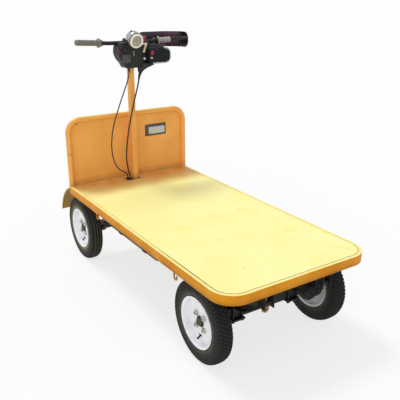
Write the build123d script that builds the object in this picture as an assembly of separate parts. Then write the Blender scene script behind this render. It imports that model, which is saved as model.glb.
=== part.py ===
from build123d import *
import math
import os

# Electric platform cart. X points forward, Y to the left and Z up, in millimetres.
# The origin is on the floor, under the middle of the bounding box.

# Driving dimensions: platform
DECK_LENGTH = 1800.0
DECK_WIDTH = 900.0
TYRE_CLEARANCE = 16.0
RAIL_HEIGHT = 50.0
RAIL_FLANGE = 18.0
RAIL_RETURN = 30.0
SHEET = 4.0
CORNER_RADIUS = 120.0
FRONT_RADIUS = 20.0
PANEL_GAP = 2.0
SUBRAIL_Y = 180.0
SUBRAIL_WIDTH = 40.0

# Driving dimensions: wheels and axles
AXLE_SETBACK = 86.0
REAR_OVERHANG = 304.0
TRACK_INSET = 65.0
REAR_TRACK_INSET = 86.0
TYRE_RADIUS = 215.0
TYRE_HALF_WIDTH = 41.0
BEAD_RADIUS = 127.0
RIM_LIP = 6.0
SCRUB = 85.0
STEER_ARM = 105.0
STUB_RADIUS = 12.5
RUNNING_GAP = 0.05

# Driving dimensions: fenders and headboard
FENDER_CLEARANCE = 62.0
FENDER_SHEET = 2.0
FENDER_LOW_ANGLE = 12.0
FENDER_INSIDE = 50.0
FENDER_OUTSIDE = 60.0
FENDER_LIP = 9.0
HEADBOARD_HEIGHT = 457.0
HEADBOARD_TUBE = 17.0
HEADBOARD_BEND = 85.0
HEADBOARD_SETBACK = 22.0
FOOT_GAP = 1.0

# Driving dimensions: battery, between the two axles
BATTERY_SETBACK = 285.0
BATTERY_AHEAD = 505.0
BATTERY_HALF = 330.0
BATTERY_HEIGHT = 138.0
BATTERY_CORNER = 20.0

# Driving dimensions: steering head
POST_SIZE = 35.0
POST_WALL = 3.0
POST_IN_COVER = 23.0
SHAFT_RADIUS = 12.5
BUSH_WALL = 3.5
BAR_RISE = 910.0
BAR_FORWARD = 20.0
BAR_RADIUS = 12.5
BAR_HALF = 373.0
BAR_KNEE = 130.0
BAR_SWEEP = 60.0
BAR_LIFT = 18.0
COVER_RISE = 6.0
COVER_DROP = 154.0
COVER_HALF_DEPTH = 50.0
COVER_WALL = 6.0
COVER_ROUND = 12.0
LAMP_RISE = 18.0
LAMP_BACK = 100.0
LAMP_TILT = 15.0
LAMP_RADIUS = 49.0

# Places that follow from the dimensions
FENDER_RADIUS = TYRE_RADIUS + FENDER_CLEARANCE
FENDER_REACH = (FENDER_RADIUS + FENDER_SHEET) * math.cos(math.radians(FENDER_LOW_ANGLE)) - AXLE_SETBACK
DECK_FRONT = (DECK_LENGTH - FENDER_REACH) / 2
DECK_REAR = DECK_FRONT - DECK_LENGTH
FRONT_AXLE = DECK_FRONT - AXLE_SETBACK
REAR_AXLE = DECK_REAR + REAR_OVERHANG
HALF_WIDTH = DECK_WIDTH / 2
HALF_TRACK = HALF_WIDTH - TRACK_INSET
REAR_TRACK = HALF_WIDTH - REAR_TRACK_INSET
KINGPIN_Y = HALF_TRACK - SCRUB
AXLE_Z = TYRE_RADIUS
RAIL_BOTTOM = AXLE_Z + TYRE_RADIUS + TYRE_CLEARANCE
DECK_TOP = RAIL_BOTTOM + RAIL_HEIGHT
FRAME_LOW = RAIL_BOTTOM + SHEET
FRAME_HIGH = DECK_TOP - SHEET
BATTERY_SPAN = (REAR_AXLE + BATTERY_AHEAD, FRONT_AXLE - BATTERY_SETBACK)
POST_X = FRONT_AXLE
BAR_X = POST_X + BAR_FORWARD
BAR_Z = DECK_TOP + BAR_RISE
COVER_TOP = BAR_Z + COVER_RISE
COVER_FLOOR = BAR_Z - COVER_DROP
POST_TOP = COVER_FLOOR + POST_IN_COVER
HEADBOARD_X = DECK_FRONT - HEADBOARD_SETBACK

PARTS = {}


def block(xs, ys, zs):
    """A block from its three (low, high) spans."""
    size = [high - low for low, high in (xs, ys, zs)]
    middle = [(high + low) / 2 for low, high in (xs, ys, zs)]
    return Pos(*middle) * Box(*size)


def about(middle, half):
    """The (low, high) span about a middle."""
    return (middle - half, middle + half)


def rod(start, end, radius):
    """A round bar from one point to another."""
    along = Vector(*end) - Vector(*start)
    place = Plane(origin=start, z_dir=along).location
    return place * Cylinder(radius, along.length, align=(Align.CENTER, Align.CENTER, Align.MIN))


def upright(x, y, span, radius):
    """A round bar along Z, over a (low, high) span."""
    return rod((x, y, span[0]), (x, y, span[1]), radius)


def crosswise(x, z, span, radius):
    """A round bar along Y, over a (low, high) span."""
    return rod((x, span[0], z), (x, span[1], z), radius)


def polygon(points):
    """A flat face from its corners."""
    return make_face(Polyline(*points, close=True))


def rectangle(across, up):
    """A flat face from two (low, high) spans."""
    return polygon([(across[0], up[0]), (across[1], up[0]), (across[1], up[1]), (across[0], up[1])])


def turned(profile):
    """A solid turned about Y from (radius, y) points."""
    return revolve(polygon(profile), axis=Axis.Y)


def bent(points, radius, bends):
    """A round bar along straight runs joined by tangent arcs."""
    path = FilletPolyline(*points, radius=bends)
    return sweep(Plane(origin=path @ 0, z_dir=path % 0) * Circle(radius), path=path)


def plate_yz(outline, x_low, x_high):
    """A plate with its outline face in Y and Z, between two X planes."""
    face = Plane(origin=(x_low, 0, 0), x_dir=(0, 1, 0), z_dir=(1, 0, 0)) * outline
    return extrude(face, x_high - x_low)


def plate_xz(outline, y_low, y_high):
    """A plate with its outline face in X and Z, between two Y planes."""
    face = Plane(origin=(0, y_high, 0), x_dir=(1, 0, 0), z_dir=(0, -1, 0)) * outline
    return extrude(face, y_high - y_low)


def flipped(solid):
    """The same piece on the other side of the cart."""
    return mirror(solid, about=Plane.XZ)


def keep(name, *solids):
    """Store one node, made of one or more separate solids."""
    PARTS[name] = list(solids)


def deck_outline(inset):
    """The platform's outline, drawn inward by an inset."""
    face = rectangle((DECK_REAR + inset, DECK_FRONT - inset), (-HALF_WIDTH + inset, HALF_WIDTH - inset))
    rear = face.vertices().sort_by(Axis.X)[:2]
    face = fillet(rear, CORNER_RADIUS - inset)
    front = face.vertices().sort_by(Axis.X)[-2:]
    return fillet(front, max(FRONT_RADIUS - inset, PANEL_GAP))


def deck_layer(inset, low, high):
    """A slab with the platform's outline."""
    return Pos(0, 0, low) * extrude(deck_outline(inset), high - low)


# Platform: four perimeter rails, bent from one channel section
CUT = 5.0
channel = deck_layer(0, RAIL_BOTTOM, DECK_TOP) - deck_layer(RAIL_FLANGE, FRAME_HIGH - CUT, DECK_TOP + CUT)
channel -= deck_layer(SHEET, FRAME_LOW, FRAME_HIGH)
channel -= deck_layer(RAIL_RETURN, RAIL_BOTTOM - CUT, FRAME_LOW + CUT)
RAIL_CUTS = (DECK_REAR + CORNER_RADIUS, DECK_FRONT - RAIL_RETURN)
rail_zone = (RAIL_BOTTOM - CUT, DECK_TOP + CUT)
side_rail = channel & block(RAIL_CUTS, (0, HALF_WIDTH + CUT), rail_zone)
keep("side_rails", side_rail, flipped(side_rail))
whole_width = about(0, HALF_WIDTH + CUT)
keep("rail_rear", channel & block((DECK_REAR - CUT, RAIL_CUTS[0]), whole_width, rail_zone))
keep("rail_front", channel & block((RAIL_CUTS[1], DECK_FRONT + CUT), whole_width, rail_zone))

# Headboard: bent tube hoop with a sheet in it
HOOP_Y = HALF_WIDTH - HEADBOARD_TUBE
HOOP_TOP = DECK_TOP + HEADBOARD_HEIGHT - HEADBOARD_TUBE
hoop_points = [
    (HEADBOARD_X, HOOP_Y, DECK_TOP),
    (HEADBOARD_X, HOOP_Y, HOOP_TOP),
    (HEADBOARD_X, -HOOP_Y, HOOP_TOP),
    (HEADBOARD_X, -HOOP_Y, DECK_TOP),
]
hoop = bent(hoop_points, HEADBOARD_TUBE, HEADBOARD_BEND)
keep("headboard_frame", hoop)
BOARD_FORWARD = 6.0
BOARD_X = HEADBOARD_X + BOARD_FORWARD
board_face = rectangle((-HOOP_Y, HOOP_Y), (DECK_TOP, HOOP_TOP))
board_face = fillet(board_face.vertices().sort_by(Axis.Y)[-2:], HEADBOARD_BEND)
keep("headboard_panel", plate_yz(board_face, BOARD_X, BOARD_X + FENDER_SHEET) - hoop)

# Platform: deck sheet, cut out for the post, the cables and the hoop's feet
SLOT_HALF_X = 26.0
SLOT_Y = (-36.0, 66.0)
deck_sheet = deck_layer(RAIL_FLANGE + PANEL_GAP, FRAME_HIGH, DECK_TOP)
deck_sheet -= block(about(POST_X, SLOT_HALF_X), SLOT_Y, rail_zone)
for side in (-1, 1):
    deck_sheet -= upright(HEADBOARD_X, side * HOOP_Y, rail_zone, HEADBOARD_TUBE + FOOT_GAP)
keep("deck_sheet", deck_sheet)

# Platform: subrails and cross members, inside the channel
SUBRAIL_ENDS = (DECK_REAR + SHEET, DECK_FRONT - SHEET)
subrail_span = about(SUBRAIL_Y, SUBRAIL_WIDTH / 2)
subrail = block(SUBRAIL_ENDS, subrail_span, (FRAME_LOW, FRAME_HIGH))
subrail -= block(SUBRAIL_ENDS, (0, subrail_span[1] - SHEET), (FRAME_LOW + SHEET, FRAME_HIGH - SHEET))
keep("subrails", subrail, flipped(subrail))

# One row per cross member: its name, middle and width along X
CROSS_WIDTH = 40.0
BATTERY_BEARER = 215.0
CONTROLLER_BEARER = 55.0
REAR_BEARER = 144.0
CROSS_MEMBERS = [
    {"name": "post", "x": POST_X, "width": 2 * CROSS_WIDTH},
    {"name": "battery", "x": BATTERY_SPAN[1] - BATTERY_BEARER, "width": CROSS_WIDTH},
    {"name": "controller", "x": BATTERY_SPAN[0] - CONTROLLER_BEARER, "width": CROSS_WIDTH},
    {"name": "rear", "x": DECK_REAR + REAR_BEARER, "width": CROSS_WIDTH},
]
BUSH_RADIUS = SHAFT_RADIUS + BUSH_WALL
outer_span = (subrail_span[1], HALF_WIDTH - SHEET)
cross_pieces = []
for member in CROSS_MEMBERS:
    span = about(member["x"], member["width"] / 2)
    hollow = about(member["x"], member["width"] / 2 - SHEET)
    middle = block(span, (-subrail_span[0], subrail_span[0]), (FRAME_LOW, FRAME_HIGH))
    middle -= block(hollow, (-subrail_span[0], subrail_span[0]), (FRAME_LOW - CUT, FRAME_HIGH - SHEET))
    if member["name"] == "post":
        middle += upright(POST_X, 0, (FRAME_LOW, FRAME_HIGH), BUSH_RADIUS + SHEET)
        middle -= upright(POST_X, 0, rail_zone, BUSH_RADIUS)
    outrigger = block(span, outer_span, (FRAME_LOW, FRAME_HIGH))
    outrigger -= block(hollow, outer_span, (FRAME_LOW - CUT, FRAME_HIGH - SHEET))
    cross_pieces += [middle, outrigger, flipped(outrigger)]
keep("cross_members", *cross_pieces)

# Fenders: rolled sheets about the front wheels, with a flange on the front rail and an outer lip
FENDER_INNER_Y = HALF_TRACK - FENDER_INSIDE
FENDER_OUTER_Y = HALF_TRACK + FENDER_OUTSIDE
FLANGE_OVERLAP = 2.0
fender_top = math.degrees(math.acos(AXLE_SETBACK / (FENDER_RADIUS + FENDER_SHEET)))


def arc_point(radius, angle):
    """A point in X and Z on a circle about the front axle."""
    turn = math.radians(angle)
    return (FRONT_AXLE + radius * math.cos(turn), AXLE_Z + radius * math.sin(turn))


def fender_band(inner_radius):
    """A band in X and Z from an inner radius out to the fender's skin."""
    angles = (FENDER_LOW_ANGLE, (FENDER_LOW_ANGLE + fender_top) / 2, fender_top)
    outer = [arc_point(FENDER_RADIUS + FENDER_SHEET, angle) for angle in angles]
    inner = [arc_point(inner_radius, angle) for angle in angles]
    edges = [
        ThreePointArc(*outer),
        Line(outer[2], inner[2]),
        ThreePointArc(*reversed(inner)),
        Line(inner[0], outer[0]),
    ]
    return make_face(edges)


fender = plate_xz(fender_band(FENDER_RADIUS), FENDER_INNER_Y, FENDER_OUTER_Y)
fender += plate_xz(fender_band(FENDER_RADIUS - FENDER_LIP), FENDER_OUTER_Y - FENDER_SHEET, FENDER_OUTER_Y)
behind_rail = (DECK_FRONT - 2 * FENDER_RADIUS, DECK_FRONT)
fender -= block(behind_rail, (0, DECK_WIDTH), (0, DECK_TOP + FENDER_RADIUS))
fender += block(
    (DECK_FRONT, DECK_FRONT + FENDER_SHEET),
    (FENDER_INNER_Y, HALF_WIDTH - FRONT_RADIUS),
    (RAIL_BOTTOM + FLANGE_OVERLAP, arc_point(FENDER_RADIUS + FENDER_SHEET, fender_top)[1]),
)
keep("front_fenders", fender, flipped(fender))

# Rope hooks under the side rails
HOOK_FROM_FRONT = 412.0
HOOK_FROM_REAR = 453.0
HOOK_STATIONS = (DECK_FRONT - HOOK_FROM_FRONT, DECK_REAR + HOOK_FROM_REAR)
HOOK_ROD = 4.0
HOOK_DROP = 50.0
HOOK_TIP = 28.0
HOOK_REACH = 24.0
HOOK_BEND = 10.0
hook_y = HALF_WIDTH - RAIL_RETURN / 2 - HOOK_ROD
hooks = []
for station in HOOK_STATIONS:
    hook_points = [
        (station, hook_y, RAIL_BOTTOM),
        (station, hook_y, RAIL_BOTTOM - HOOK_DROP),
        (station - HOOK_REACH, hook_y, RAIL_BOTTOM - HOOK_DROP),
        (station - HOOK_REACH, hook_y, RAIL_BOTTOM - HOOK_TIP),
    ]
    hook = bent(hook_points, HOOK_ROD, HOOK_BEND)
    hooks += [hook, flipped(hook)]
keep("rope_hooks", *hooks)

# Front axle: beam with kingpin sleeves, on two tapered stands under the subrails
BEAM_HALF = 22.0
BEAM_SPAN = (AXLE_Z - 25, AXLE_Z + 20)
SLEEVE_SPAN = (AXLE_Z - 30, AXLE_Z + 25)
SLEEVE_RADIUS = 20.0
KINGPIN_RADIUS = 10.0
front_beam = block(about(FRONT_AXLE, BEAM_HALF), about(0, KINGPIN_Y - SLEEVE_RADIUS / 2), BEAM_SPAN)
for side in (1, -1):
    front_beam += upright(FRONT_AXLE, side * KINGPIN_Y, SLEEVE_SPAN, SLEEVE_RADIUS)
for side in (1, -1):
    front_beam -= upright(FRONT_AXLE, side * KINGPIN_Y, (0, DECK_TOP), KINGPIN_RADIUS + RUNNING_GAP)
keep("front_axle_beam", front_beam)
STAND_FOOT = 24.0
STAND_HEAD = 46.0
STAND_WALL = 5.0


def stand_face(wall):
    """A stand's tapered outline in X and Z, wider at the subrail, drawn inward by a wall."""
    foot = STAND_FOOT - wall
    head = STAND_HEAD - wall
    low = BEAM_SPAN[1] + wall
    high = FRAME_LOW - wall
    corners = [(-foot, low), (foot, low), (head, high), (-head, high)]
    return polygon([(FRONT_AXLE + x, z) for x, z in corners])


stand = plate_xz(stand_face(0), *subrail_span)
stand -= plate_xz(stand_face(STAND_WALL), subrail_span[0] - CUT, subrail_span[1] - STAND_WALL)
keep("front_axle_stands", stand, flipped(stand))

# Steering knuckles: a fork about the sleeve, a stub axle and an arm to the rear
EAR = 12.0
EAR_GAP = 0.3
EAR_RADIUS = 18.0
UPPER_EAR = (SLEEVE_SPAN[1] + EAR_GAP, SLEEVE_SPAN[1] + EAR_GAP + EAR)
LOWER_EAR = (SLEEVE_SPAN[0] - EAR_GAP - EAR, SLEEVE_SPAN[0] - EAR_GAP)
FORK_BACK = (SLEEVE_RADIUS + 6, SLEEVE_RADIUS + 18)
ARM_HALF = 11.0
EYE_RADIUS = 18.0
TIE_PIN = 6.0
PIN_TAIL = 8.0
TIE_GAP = 2.3
EYE_SPAN = (AXLE_Z + 3, UPPER_EAR[0] - TIE_GAP)
HUB_INNER = 38.0
SHOULDER_RADIUS = 18.0
STUB_REACH = 16.0
PIN_X = FRONT_AXLE - STEER_ARM


def knuckle_left():
    """The left knuckle, at its place."""
    x, y = FRONT_AXLE, KINGPIN_Y
    back = (y + FORK_BACK[0], y + FORK_BACK[1])
    solid = block(about(x, BEAM_HALF), back, (LOWER_EAR[0], UPPER_EAR[1]))
    for ear in (UPPER_EAR, LOWER_EAR):
        solid += block(about(x, EAR_RADIUS), (y, back[1]), ear)
        solid += upright(x, y, ear, EAR_RADIUS)
    solid += upright(x, y, (LOWER_EAR[0] - PIN_TAIL, UPPER_EAR[1] + PIN_TAIL), KINGPIN_RADIUS)
    solid += crosswise(x, AXLE_Z, (back[1], HALF_TRACK - HUB_INNER - 1), SHOULDER_RADIUS)
    solid += crosswise(x, AXLE_Z, (back[1], HALF_TRACK + STUB_REACH), STUB_RADIUS)
    solid += block((PIN_X, x), about(y, ARM_HALF), UPPER_EAR)
    solid += upright(PIN_X, y, UPPER_EAR, EYE_RADIUS - 1)
    return solid + upright(PIN_X, y, (EYE_SPAN[0] - PIN_TAIL, UPPER_EAR[1]), TIE_PIN)


keep("knuckle_left", knuckle_left())
keep("knuckle_right", flipped(knuckle_left()))

# Tie rod: one bar with an eye for each knuckle arm and one for the pitman arm
TIE_RADIUS = 9.0
EYE_PLACES = (-KINGPIN_Y, 0, KINGPIN_Y)
tie_rod = crosswise(PIN_X, sum(EYE_SPAN) / 2, (-KINGPIN_Y, KINGPIN_Y), TIE_RADIUS)
for y in EYE_PLACES:
    tie_rod += upright(PIN_X, y, EYE_SPAN, EYE_RADIUS)
for y in EYE_PLACES:
    tie_rod -= upright(PIN_X, y, (0, DECK_TOP), TIE_PIN + RUNNING_GAP)
keep("tie_rod", tie_rod)

# Steering post, its two bushes and the shaft that turns in them
half_post = POST_SIZE / 2
half_bore = half_post - POST_WALL
TOP_BUSH = 40.0
post = block(about(POST_X, half_post), about(0, half_post), (FRAME_HIGH, POST_TOP))
post -= block(about(POST_X, half_bore), about(0, half_bore), (FRAME_HIGH - CUT, POST_TOP + CUT))
keep("steering_post", post)
bush_bore = upright(POST_X, 0, (0, BAR_Z), SHAFT_RADIUS + RUNNING_GAP)
top_bush = block(about(POST_X, half_bore), about(0, half_bore), (POST_TOP - TOP_BUSH, POST_TOP)) - bush_bore
low_bush = upright(POST_X, 0, (FRAME_LOW, FRAME_HIGH), BUSH_RADIUS) - bush_bore
keep("post_bushes", top_bush, low_bush)
PITMAN = (UPPER_EAR[1] + 4.7, UPPER_EAR[1] + 16.7)
PITMAN_HUB = 24.0
PITMAN_BOSS = 11.0
CLAMP_HALF = 24.0
CLAMP_LOW = BAR_Z - CLAMP_HALF
shaft = upright(POST_X, 0, (PITMAN[0] - PIN_TAIL, CLAMP_LOW), SHAFT_RADIUS)
shaft += block((PIN_X, POST_X), about(0, ARM_HALF + 2), PITMAN)
shaft += upright(POST_X, 0, PITMAN, PITMAN_HUB)
shaft += upright(PIN_X, 0, PITMAN, EYE_RADIUS - 1)
shaft += upright(PIN_X, 0, (EYE_SPAN[1] + EAR_GAP, PITMAN[0]), PITMAN_BOSS)
shaft += upright(PIN_X, 0, (EYE_SPAN[0] - PIN_TAIL, PITMAN[0]), TIE_PIN)
keep("steering_shaft", shaft)

# Handlebar and its clamp
bar_knee = (BAR_X, BAR_KNEE, BAR_Z)
bar_end = (BAR_X - BAR_SWEEP, BAR_HALF, BAR_Z + BAR_LIFT)
bar_points = [(x, -y, z) for x, y, z in (bar_end, bar_knee)] + [bar_knee, bar_end]
BAR_BEND = 90.0
bar = bent(bar_points, BAR_RADIUS, BAR_BEND)
keep("handlebar_tube", bar)
CLAMP_X = (POST_X - 16, BAR_X + 22)
CLAMP_HALF_Y = 28.0
clamp = block(CLAMP_X, about(0, CLAMP_HALF_Y), about(BAR_Z, CLAMP_HALF)) - bar
keep("handlebar_clamp", clamp)
bar_run = Vector(*bar_end) - Vector(*bar_knee)


def bar_place(y, forward=0.0):
    """A point on the left half's straight outer run, from its distance to the middle."""
    share = (y - BAR_KNEE) / (BAR_HALF - BAR_KNEE)
    return tuple(Vector(*bar_knee) + bar_run * share + Vector(forward, 0, 0))


# Grips: a long one on the left, a short throttle sleeve on the right, each with a flange
GRIP_RADIUS = 18.0
GRIP_START = 216.0
GRIP_FLANGE = 8.0
FLANGE_RADIUS = 28.0
GRIP_CAP = 4.0
THROTTLE_END = 292.0


def grip(end):
    """A left grip from the flange out to a distance from the middle, bored for the bar."""
    solid = rod(bar_place(GRIP_START), bar_place(end), GRIP_RADIUS)
    solid += rod(bar_place(GRIP_START - GRIP_FLANGE), bar_place(GRIP_START), FLANGE_RADIUS)
    return solid - rod(bar_place(BAR_KNEE), bar_end, BAR_RADIUS)


keep("grips", grip(BAR_HALF + GRIP_CAP), flipped(grip(THROTTLE_END)))

# Brake levers: a perch about the bar beside the grip's flange, and a blade in front of the grip
PERCH_WIDTH = 14.0
PERCH_RADIUS = 21.0
PIVOT_FORWARD = 36.0
PIVOT_RADIUS = 9.0
BLADE_FORWARD = 52.0
BLADE_RADIUS = 6.5
BLADE_BEND = 20.0
perch_out = GRIP_START - GRIP_FLANGE
perch_middle = perch_out - PERCH_WIDTH / 2
pivot = bar_place(perch_middle, PIVOT_FORWARD)
blade_points = [pivot, bar_place(perch_middle + 45, BLADE_FORWARD), bar_place(BAR_HALF - 28, BLADE_FORWARD)]
lever = rod(bar_place(perch_out - PERCH_WIDTH), bar_place(perch_out), PERCH_RADIUS)
lever += rod(bar_place(perch_middle), pivot, PIVOT_RADIUS)
lever += bent(blade_points, BLADE_RADIUS, BLADE_BEND)
lever -= rod(bar_place(BAR_KNEE), bar_place(GRIP_START), BAR_RADIUS)
keep("brake_lever_left", lever)
keep("brake_lever_right", flipped(lever))

# Hand guard: a bent shell in front of the right grip, held by a stud at the bar's end
GUARD_HALF = 50.0
GUARD_WALL = 4.0
GUARD_BEND = 40.0
GUARD_INNER = 110.0
GUARD_OUTER = BAR_HALF + 31
GUARD_RISE = 6.0
GUARD_ROUND = 48.0
GUARD_TAIL = 44.0
GUARD_OVERLAP = 24.0
GUARD_STUD = 10.0
guard_back = BAR_X - BAR_SWEEP - GUARD_OVERLAP
guard_line = [
    (BAR_X + 96, -GUARD_INNER),
    (BAR_X + 84, -GUARD_OUTER + 84),
    (BAR_X + 10, -GUARD_OUTER),
    (guard_back, -GUARD_OUTER),
]
guard_path = FilletPolyline(*[(x, y, BAR_Z + GUARD_RISE) for x, y in guard_line], radius=GUARD_BEND)
guard_start = Plane(origin=guard_path @ 0, z_dir=guard_path % 0, x_dir=(0, 0, 1))
guard = sweep(guard_start * Rectangle(2 * GUARD_HALF, GUARD_WALL), path=guard_path)
guard_sides = (-GUARD_OUTER - GUARD_WALL / 2, -GUARD_INNER)
guard_zone = about(BAR_Z + GUARD_RISE, GUARD_HALF)
guard_front = rectangle(guard_sides, guard_zone)
guard_front = fillet(guard_front.vertices().sort_by(Axis.X)[-2:], GUARD_ROUND)
guard = guard & plate_yz(guard_front, BAR_X - 2 * BAR_SWEEP, BAR_X + 2 * BAR_SWEEP)
guard_side = rectangle((guard_back, BAR_X + 2 * BAR_SWEEP), guard_zone)
guard_side = fillet(guard_side.vertices().sort_by(Axis.X)[:2], GUARD_TAIL)
guard = guard & plate_xz(guard_side, guard_sides[0] - CUT, 0)
guard += flipped(rod(bar_end, bar_place(GUARD_OUTER), GUARD_STUD))
keep("hand_guard", guard)

# Head cover: a hollow moulding about the clamp, open below about the post, with a boot for the loom
LOBE_ARC = [(80, COVER_TOP), (98, BAR_Z - 54), (64, BAR_Z - 122)]
COVER_RIGHT = -118.0
COVER_FOOT = (-34.0, 46.0)
COVER_SLOPE = 38.0
cover_edge = [
    Line((COVER_RIGHT, COVER_TOP), LOBE_ARC[0]),
    ThreePointArc(*LOBE_ARC),
    Line(LOBE_ARC[2], (COVER_FOOT[1], COVER_FLOOR)),
    Line((COVER_FOOT[1], COVER_FLOOR), (COVER_FOOT[0], COVER_FLOOR)),
    Line((COVER_FOOT[0], COVER_FLOOR), (COVER_RIGHT, COVER_FLOOR + COVER_SLOPE)),
    Line((COVER_RIGHT, COVER_FLOOR + COVER_SLOPE), (COVER_RIGHT, COVER_TOP)),
]
cover_face = make_face(cover_edge)
cover_outside = plate_yz(cover_face, *about(POST_X, COVER_HALF_DEPTH))
for end in (0, -1):
    rim_edges = cover_outside.faces().sort_by(Axis.X)[end].edges().sort_by(Axis.Z)[1:]
    cover_outside = fillet(rim_edges, COVER_ROUND)
cover_hollow = offset(cover_face, -COVER_WALL)
cover = cover_outside - plate_yz(cover_hollow, *about(POST_X, COVER_HALF_DEPTH - COVER_WALL))
POST_CLEARANCE = 9.0
post_hole = half_post * math.sqrt(2) + POST_CLEARANCE
cover -= upright(POST_X, 0, (COVER_FLOOR - CUT, COVER_FLOOR + 2 * COVER_WALL), post_hole)
FIT_GAP = 0.5
cover -= crosswise(BAR_X, BAR_Z, (2 * COVER_RIGHT, -2 * COVER_RIGHT), BAR_RADIUS + FIT_GAP)
clamp_space = (CLAMP_X[0] - FIT_GAP, CLAMP_X[1] + FIT_GAP)
cover -= block(clamp_space, about(0, CLAMP_HALF_Y + FIT_GAP), (CLAMP_LOW, COVER_TOP + CUT))
LOOM_BACK = 42.0
LOOM_Y = -42.0
LOOM_TOP = COVER_FLOOR - 26
BOOT_HIGH = COVER_FLOOR + 8
boot = loft([
    Plane(origin=(POST_X - LOOM_BACK + 8, LOOM_Y - 8, BOOT_HIGH)) * Circle(15),
    Plane(origin=(POST_X - LOOM_BACK, LOOM_Y, LOOM_TOP)) * Circle(8),
])
cover += boot - cover_outside


def facing_back(solid):
    """A lamp piece turned about Y, set to face the rear and tilted down."""
    tilted = Rot(0, -LAMP_TILT, 0) * (Rot(0, 0, 90) * solid)
    return Pos(POST_X - LAMP_BACK, 0, BAR_Z + LAMP_RISE) * tilted


# Work lamp: drum with a domed back and a tilt knob, gasket, ring and lens, facing the deck
DRUM_DEPTH = 76.0
DOME = 32.0
GASKET = 8.0
LENS_RADIUS = 32.0
RING_DEPTH = 14.0
dome_middle = (LAMP_RADIUS - 8, -DRUM_DEPTH + 10)
drum_edge = [
    Line((0, -GASKET), (LAMP_RADIUS, -GASKET)),
    Line((LAMP_RADIUS, -GASKET), (LAMP_RADIUS, -DRUM_DEPTH + DOME)),
    ThreePointArc((LAMP_RADIUS, -DRUM_DEPTH + DOME), dome_middle, (LAMP_RADIUS - DOME, -DRUM_DEPTH)),
    Line((LAMP_RADIUS - DOME, -DRUM_DEPTH), (0, -DRUM_DEPTH)),
    Line((0, -DRUM_DEPTH), (0, -GASKET)),
]
drum = revolve(make_face(drum_edge), axis=Axis.Y)
KNOB_TILT = math.radians(20)
knob_foot = Vector(math.sin(KNOB_TILT), 0, math.cos(KNOB_TILT)) * (LAMP_RADIUS - 4)
knob_tip = Vector(math.sin(KNOB_TILT), 0, math.cos(KNOB_TILT)) * (LAMP_RADIUS + 10)
knob_back = Vector(0, -DRUM_DEPTH + DOME, 0)
drum_with_knob = drum + rod(tuple(knob_foot + knob_back), tuple(knob_tip + knob_back), 6.0)
keep("lamp_shell", facing_back(drum_with_knob))
gasket = turned([(0, -GASKET), (LAMP_RADIUS - 3, -GASKET), (LAMP_RADIUS - 3, 0), (0, 0)])
keep("lamp_gasket", facing_back(gasket))
ring_profile = [
    (LENS_RADIUS, 0),
    (LAMP_RADIUS, 0),
    (LAMP_RADIUS, 6),
    (LAMP_RADIUS - 5, RING_DEPTH),
    (LENS_RADIUS + 4, RING_DEPTH),
    (LENS_RADIUS, RING_DEPTH - 5),
]
keep("lamp_ring", facing_back(turned(ring_profile)))
lens = turned([(0, 0), (LENS_RADIUS, 0), (LENS_RADIUS, 6), (LENS_RADIUS * 0.6, 9), (0, 10)])
keep("lamp_lens", facing_back(lens))
cover -= facing_back(drum)
RING_GAP = 2.5
ring_space = LAMP_RADIUS + RING_GAP
ring_zone = (-GASKET, RING_DEPTH + RING_GAP)
cover -= facing_back(revolve(rectangle((0, ring_space), ring_zone), axis=Axis.Y))
keep("head_cover", cover)

# Control box on the right of the cover, fitted about it, with its switches and the lamp's stay
BOX_OUTER = 257.0
BOX_INNER = 94.0
BOX_TOP_DROP = 30.0
BOX_LOW_DROP = 133.0
BOX_BEHIND = 90.0
BOX_AHEAD = 20.0
BOX_Y = (-BOX_OUTER, -BOX_INNER)
BOX_Z = (BAR_Z - BOX_LOW_DROP, BAR_Z - BOX_TOP_DROP)
BOX_X = (POST_X - BOX_BEHIND, POST_X + BOX_AHEAD)
BOX_CORNER = 40.0
BOX_ROUND = 8.0
box_face = rectangle(BOX_Y, BOX_Z)
box_face = fillet(box_face.vertices().sort_by(Axis.X)[:2], BOX_CORNER)
control_box = plate_yz(box_face, *BOX_X)
control_box = fillet(control_box.faces().sort_by(Axis.X)[0].edges().sort_by(Axis.Y)[:-1], BOX_ROUND)
keep("control_box", control_box - cover_outside)
ROCKER = {"depth": 8.0, "y": (-126.0, -106.0), "z": (BAR_Z - 75, BAR_Z - 48)}
rocker = block((BOX_X[0] - ROCKER["depth"], BOX_X[0]), ROCKER["y"], ROCKER["z"])
rocker = fillet(rocker.faces().sort_by(Axis.X)[0].edges(), 3.0)
BUTTON_X = POST_X - 20
BUTTON_Y = -96.0
STEM_HEIGHT = 14.0
CAP_RADIUS = 15.0
CAP_HEIGHT = 20.0
stem_top = COVER_TOP + STEM_HEIGHT
stop_cap = upright(BUTTON_X, BUTTON_Y, (stem_top, stem_top + CAP_HEIGHT), CAP_RADIUS)
stop_cap = fillet(stop_cap.edges().sort_by(Axis.Z)[-1], 7.0)
stop_button = stop_cap + upright(BUTTON_X, BUTTON_Y, (COVER_TOP, stem_top), CAP_RADIUS * 0.6)
keep("red_switches", rocker, stop_button)
STAY_SHEET = 5.0
stay_drops = [(-62, 2), (-100, 2), (-100, 11), (-80, 61), (-68, 61), (-86, 12), (-62, 12)]
stay_face = polygon([(y, BAR_Z - drop) for y, drop in stay_drops])
stay_back = POST_X - COVER_HALF_DEPTH
keep("lamp_stay", plate_yz(stay_face, stay_back - STAY_SHEET, stay_back))

# Cables from the head cover down to a grommet in the deck slot
GROMMET_LIP = 4.0
GROMMET_TOP = DECK_TOP + GROMMET_LIP
GROMMET_Y = (half_post + 4.5, SLOT_Y[1] - 2)
grommet = block(about(POST_X, SLOT_HALF_X - 1), GROMMET_Y, (FRAME_HIGH, GROMMET_TOP))
keep("cable_grommet", fillet(grommet.edges().filter_by(Axis.Z), 8.0))
BEND_SHARE = 0.45
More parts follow.
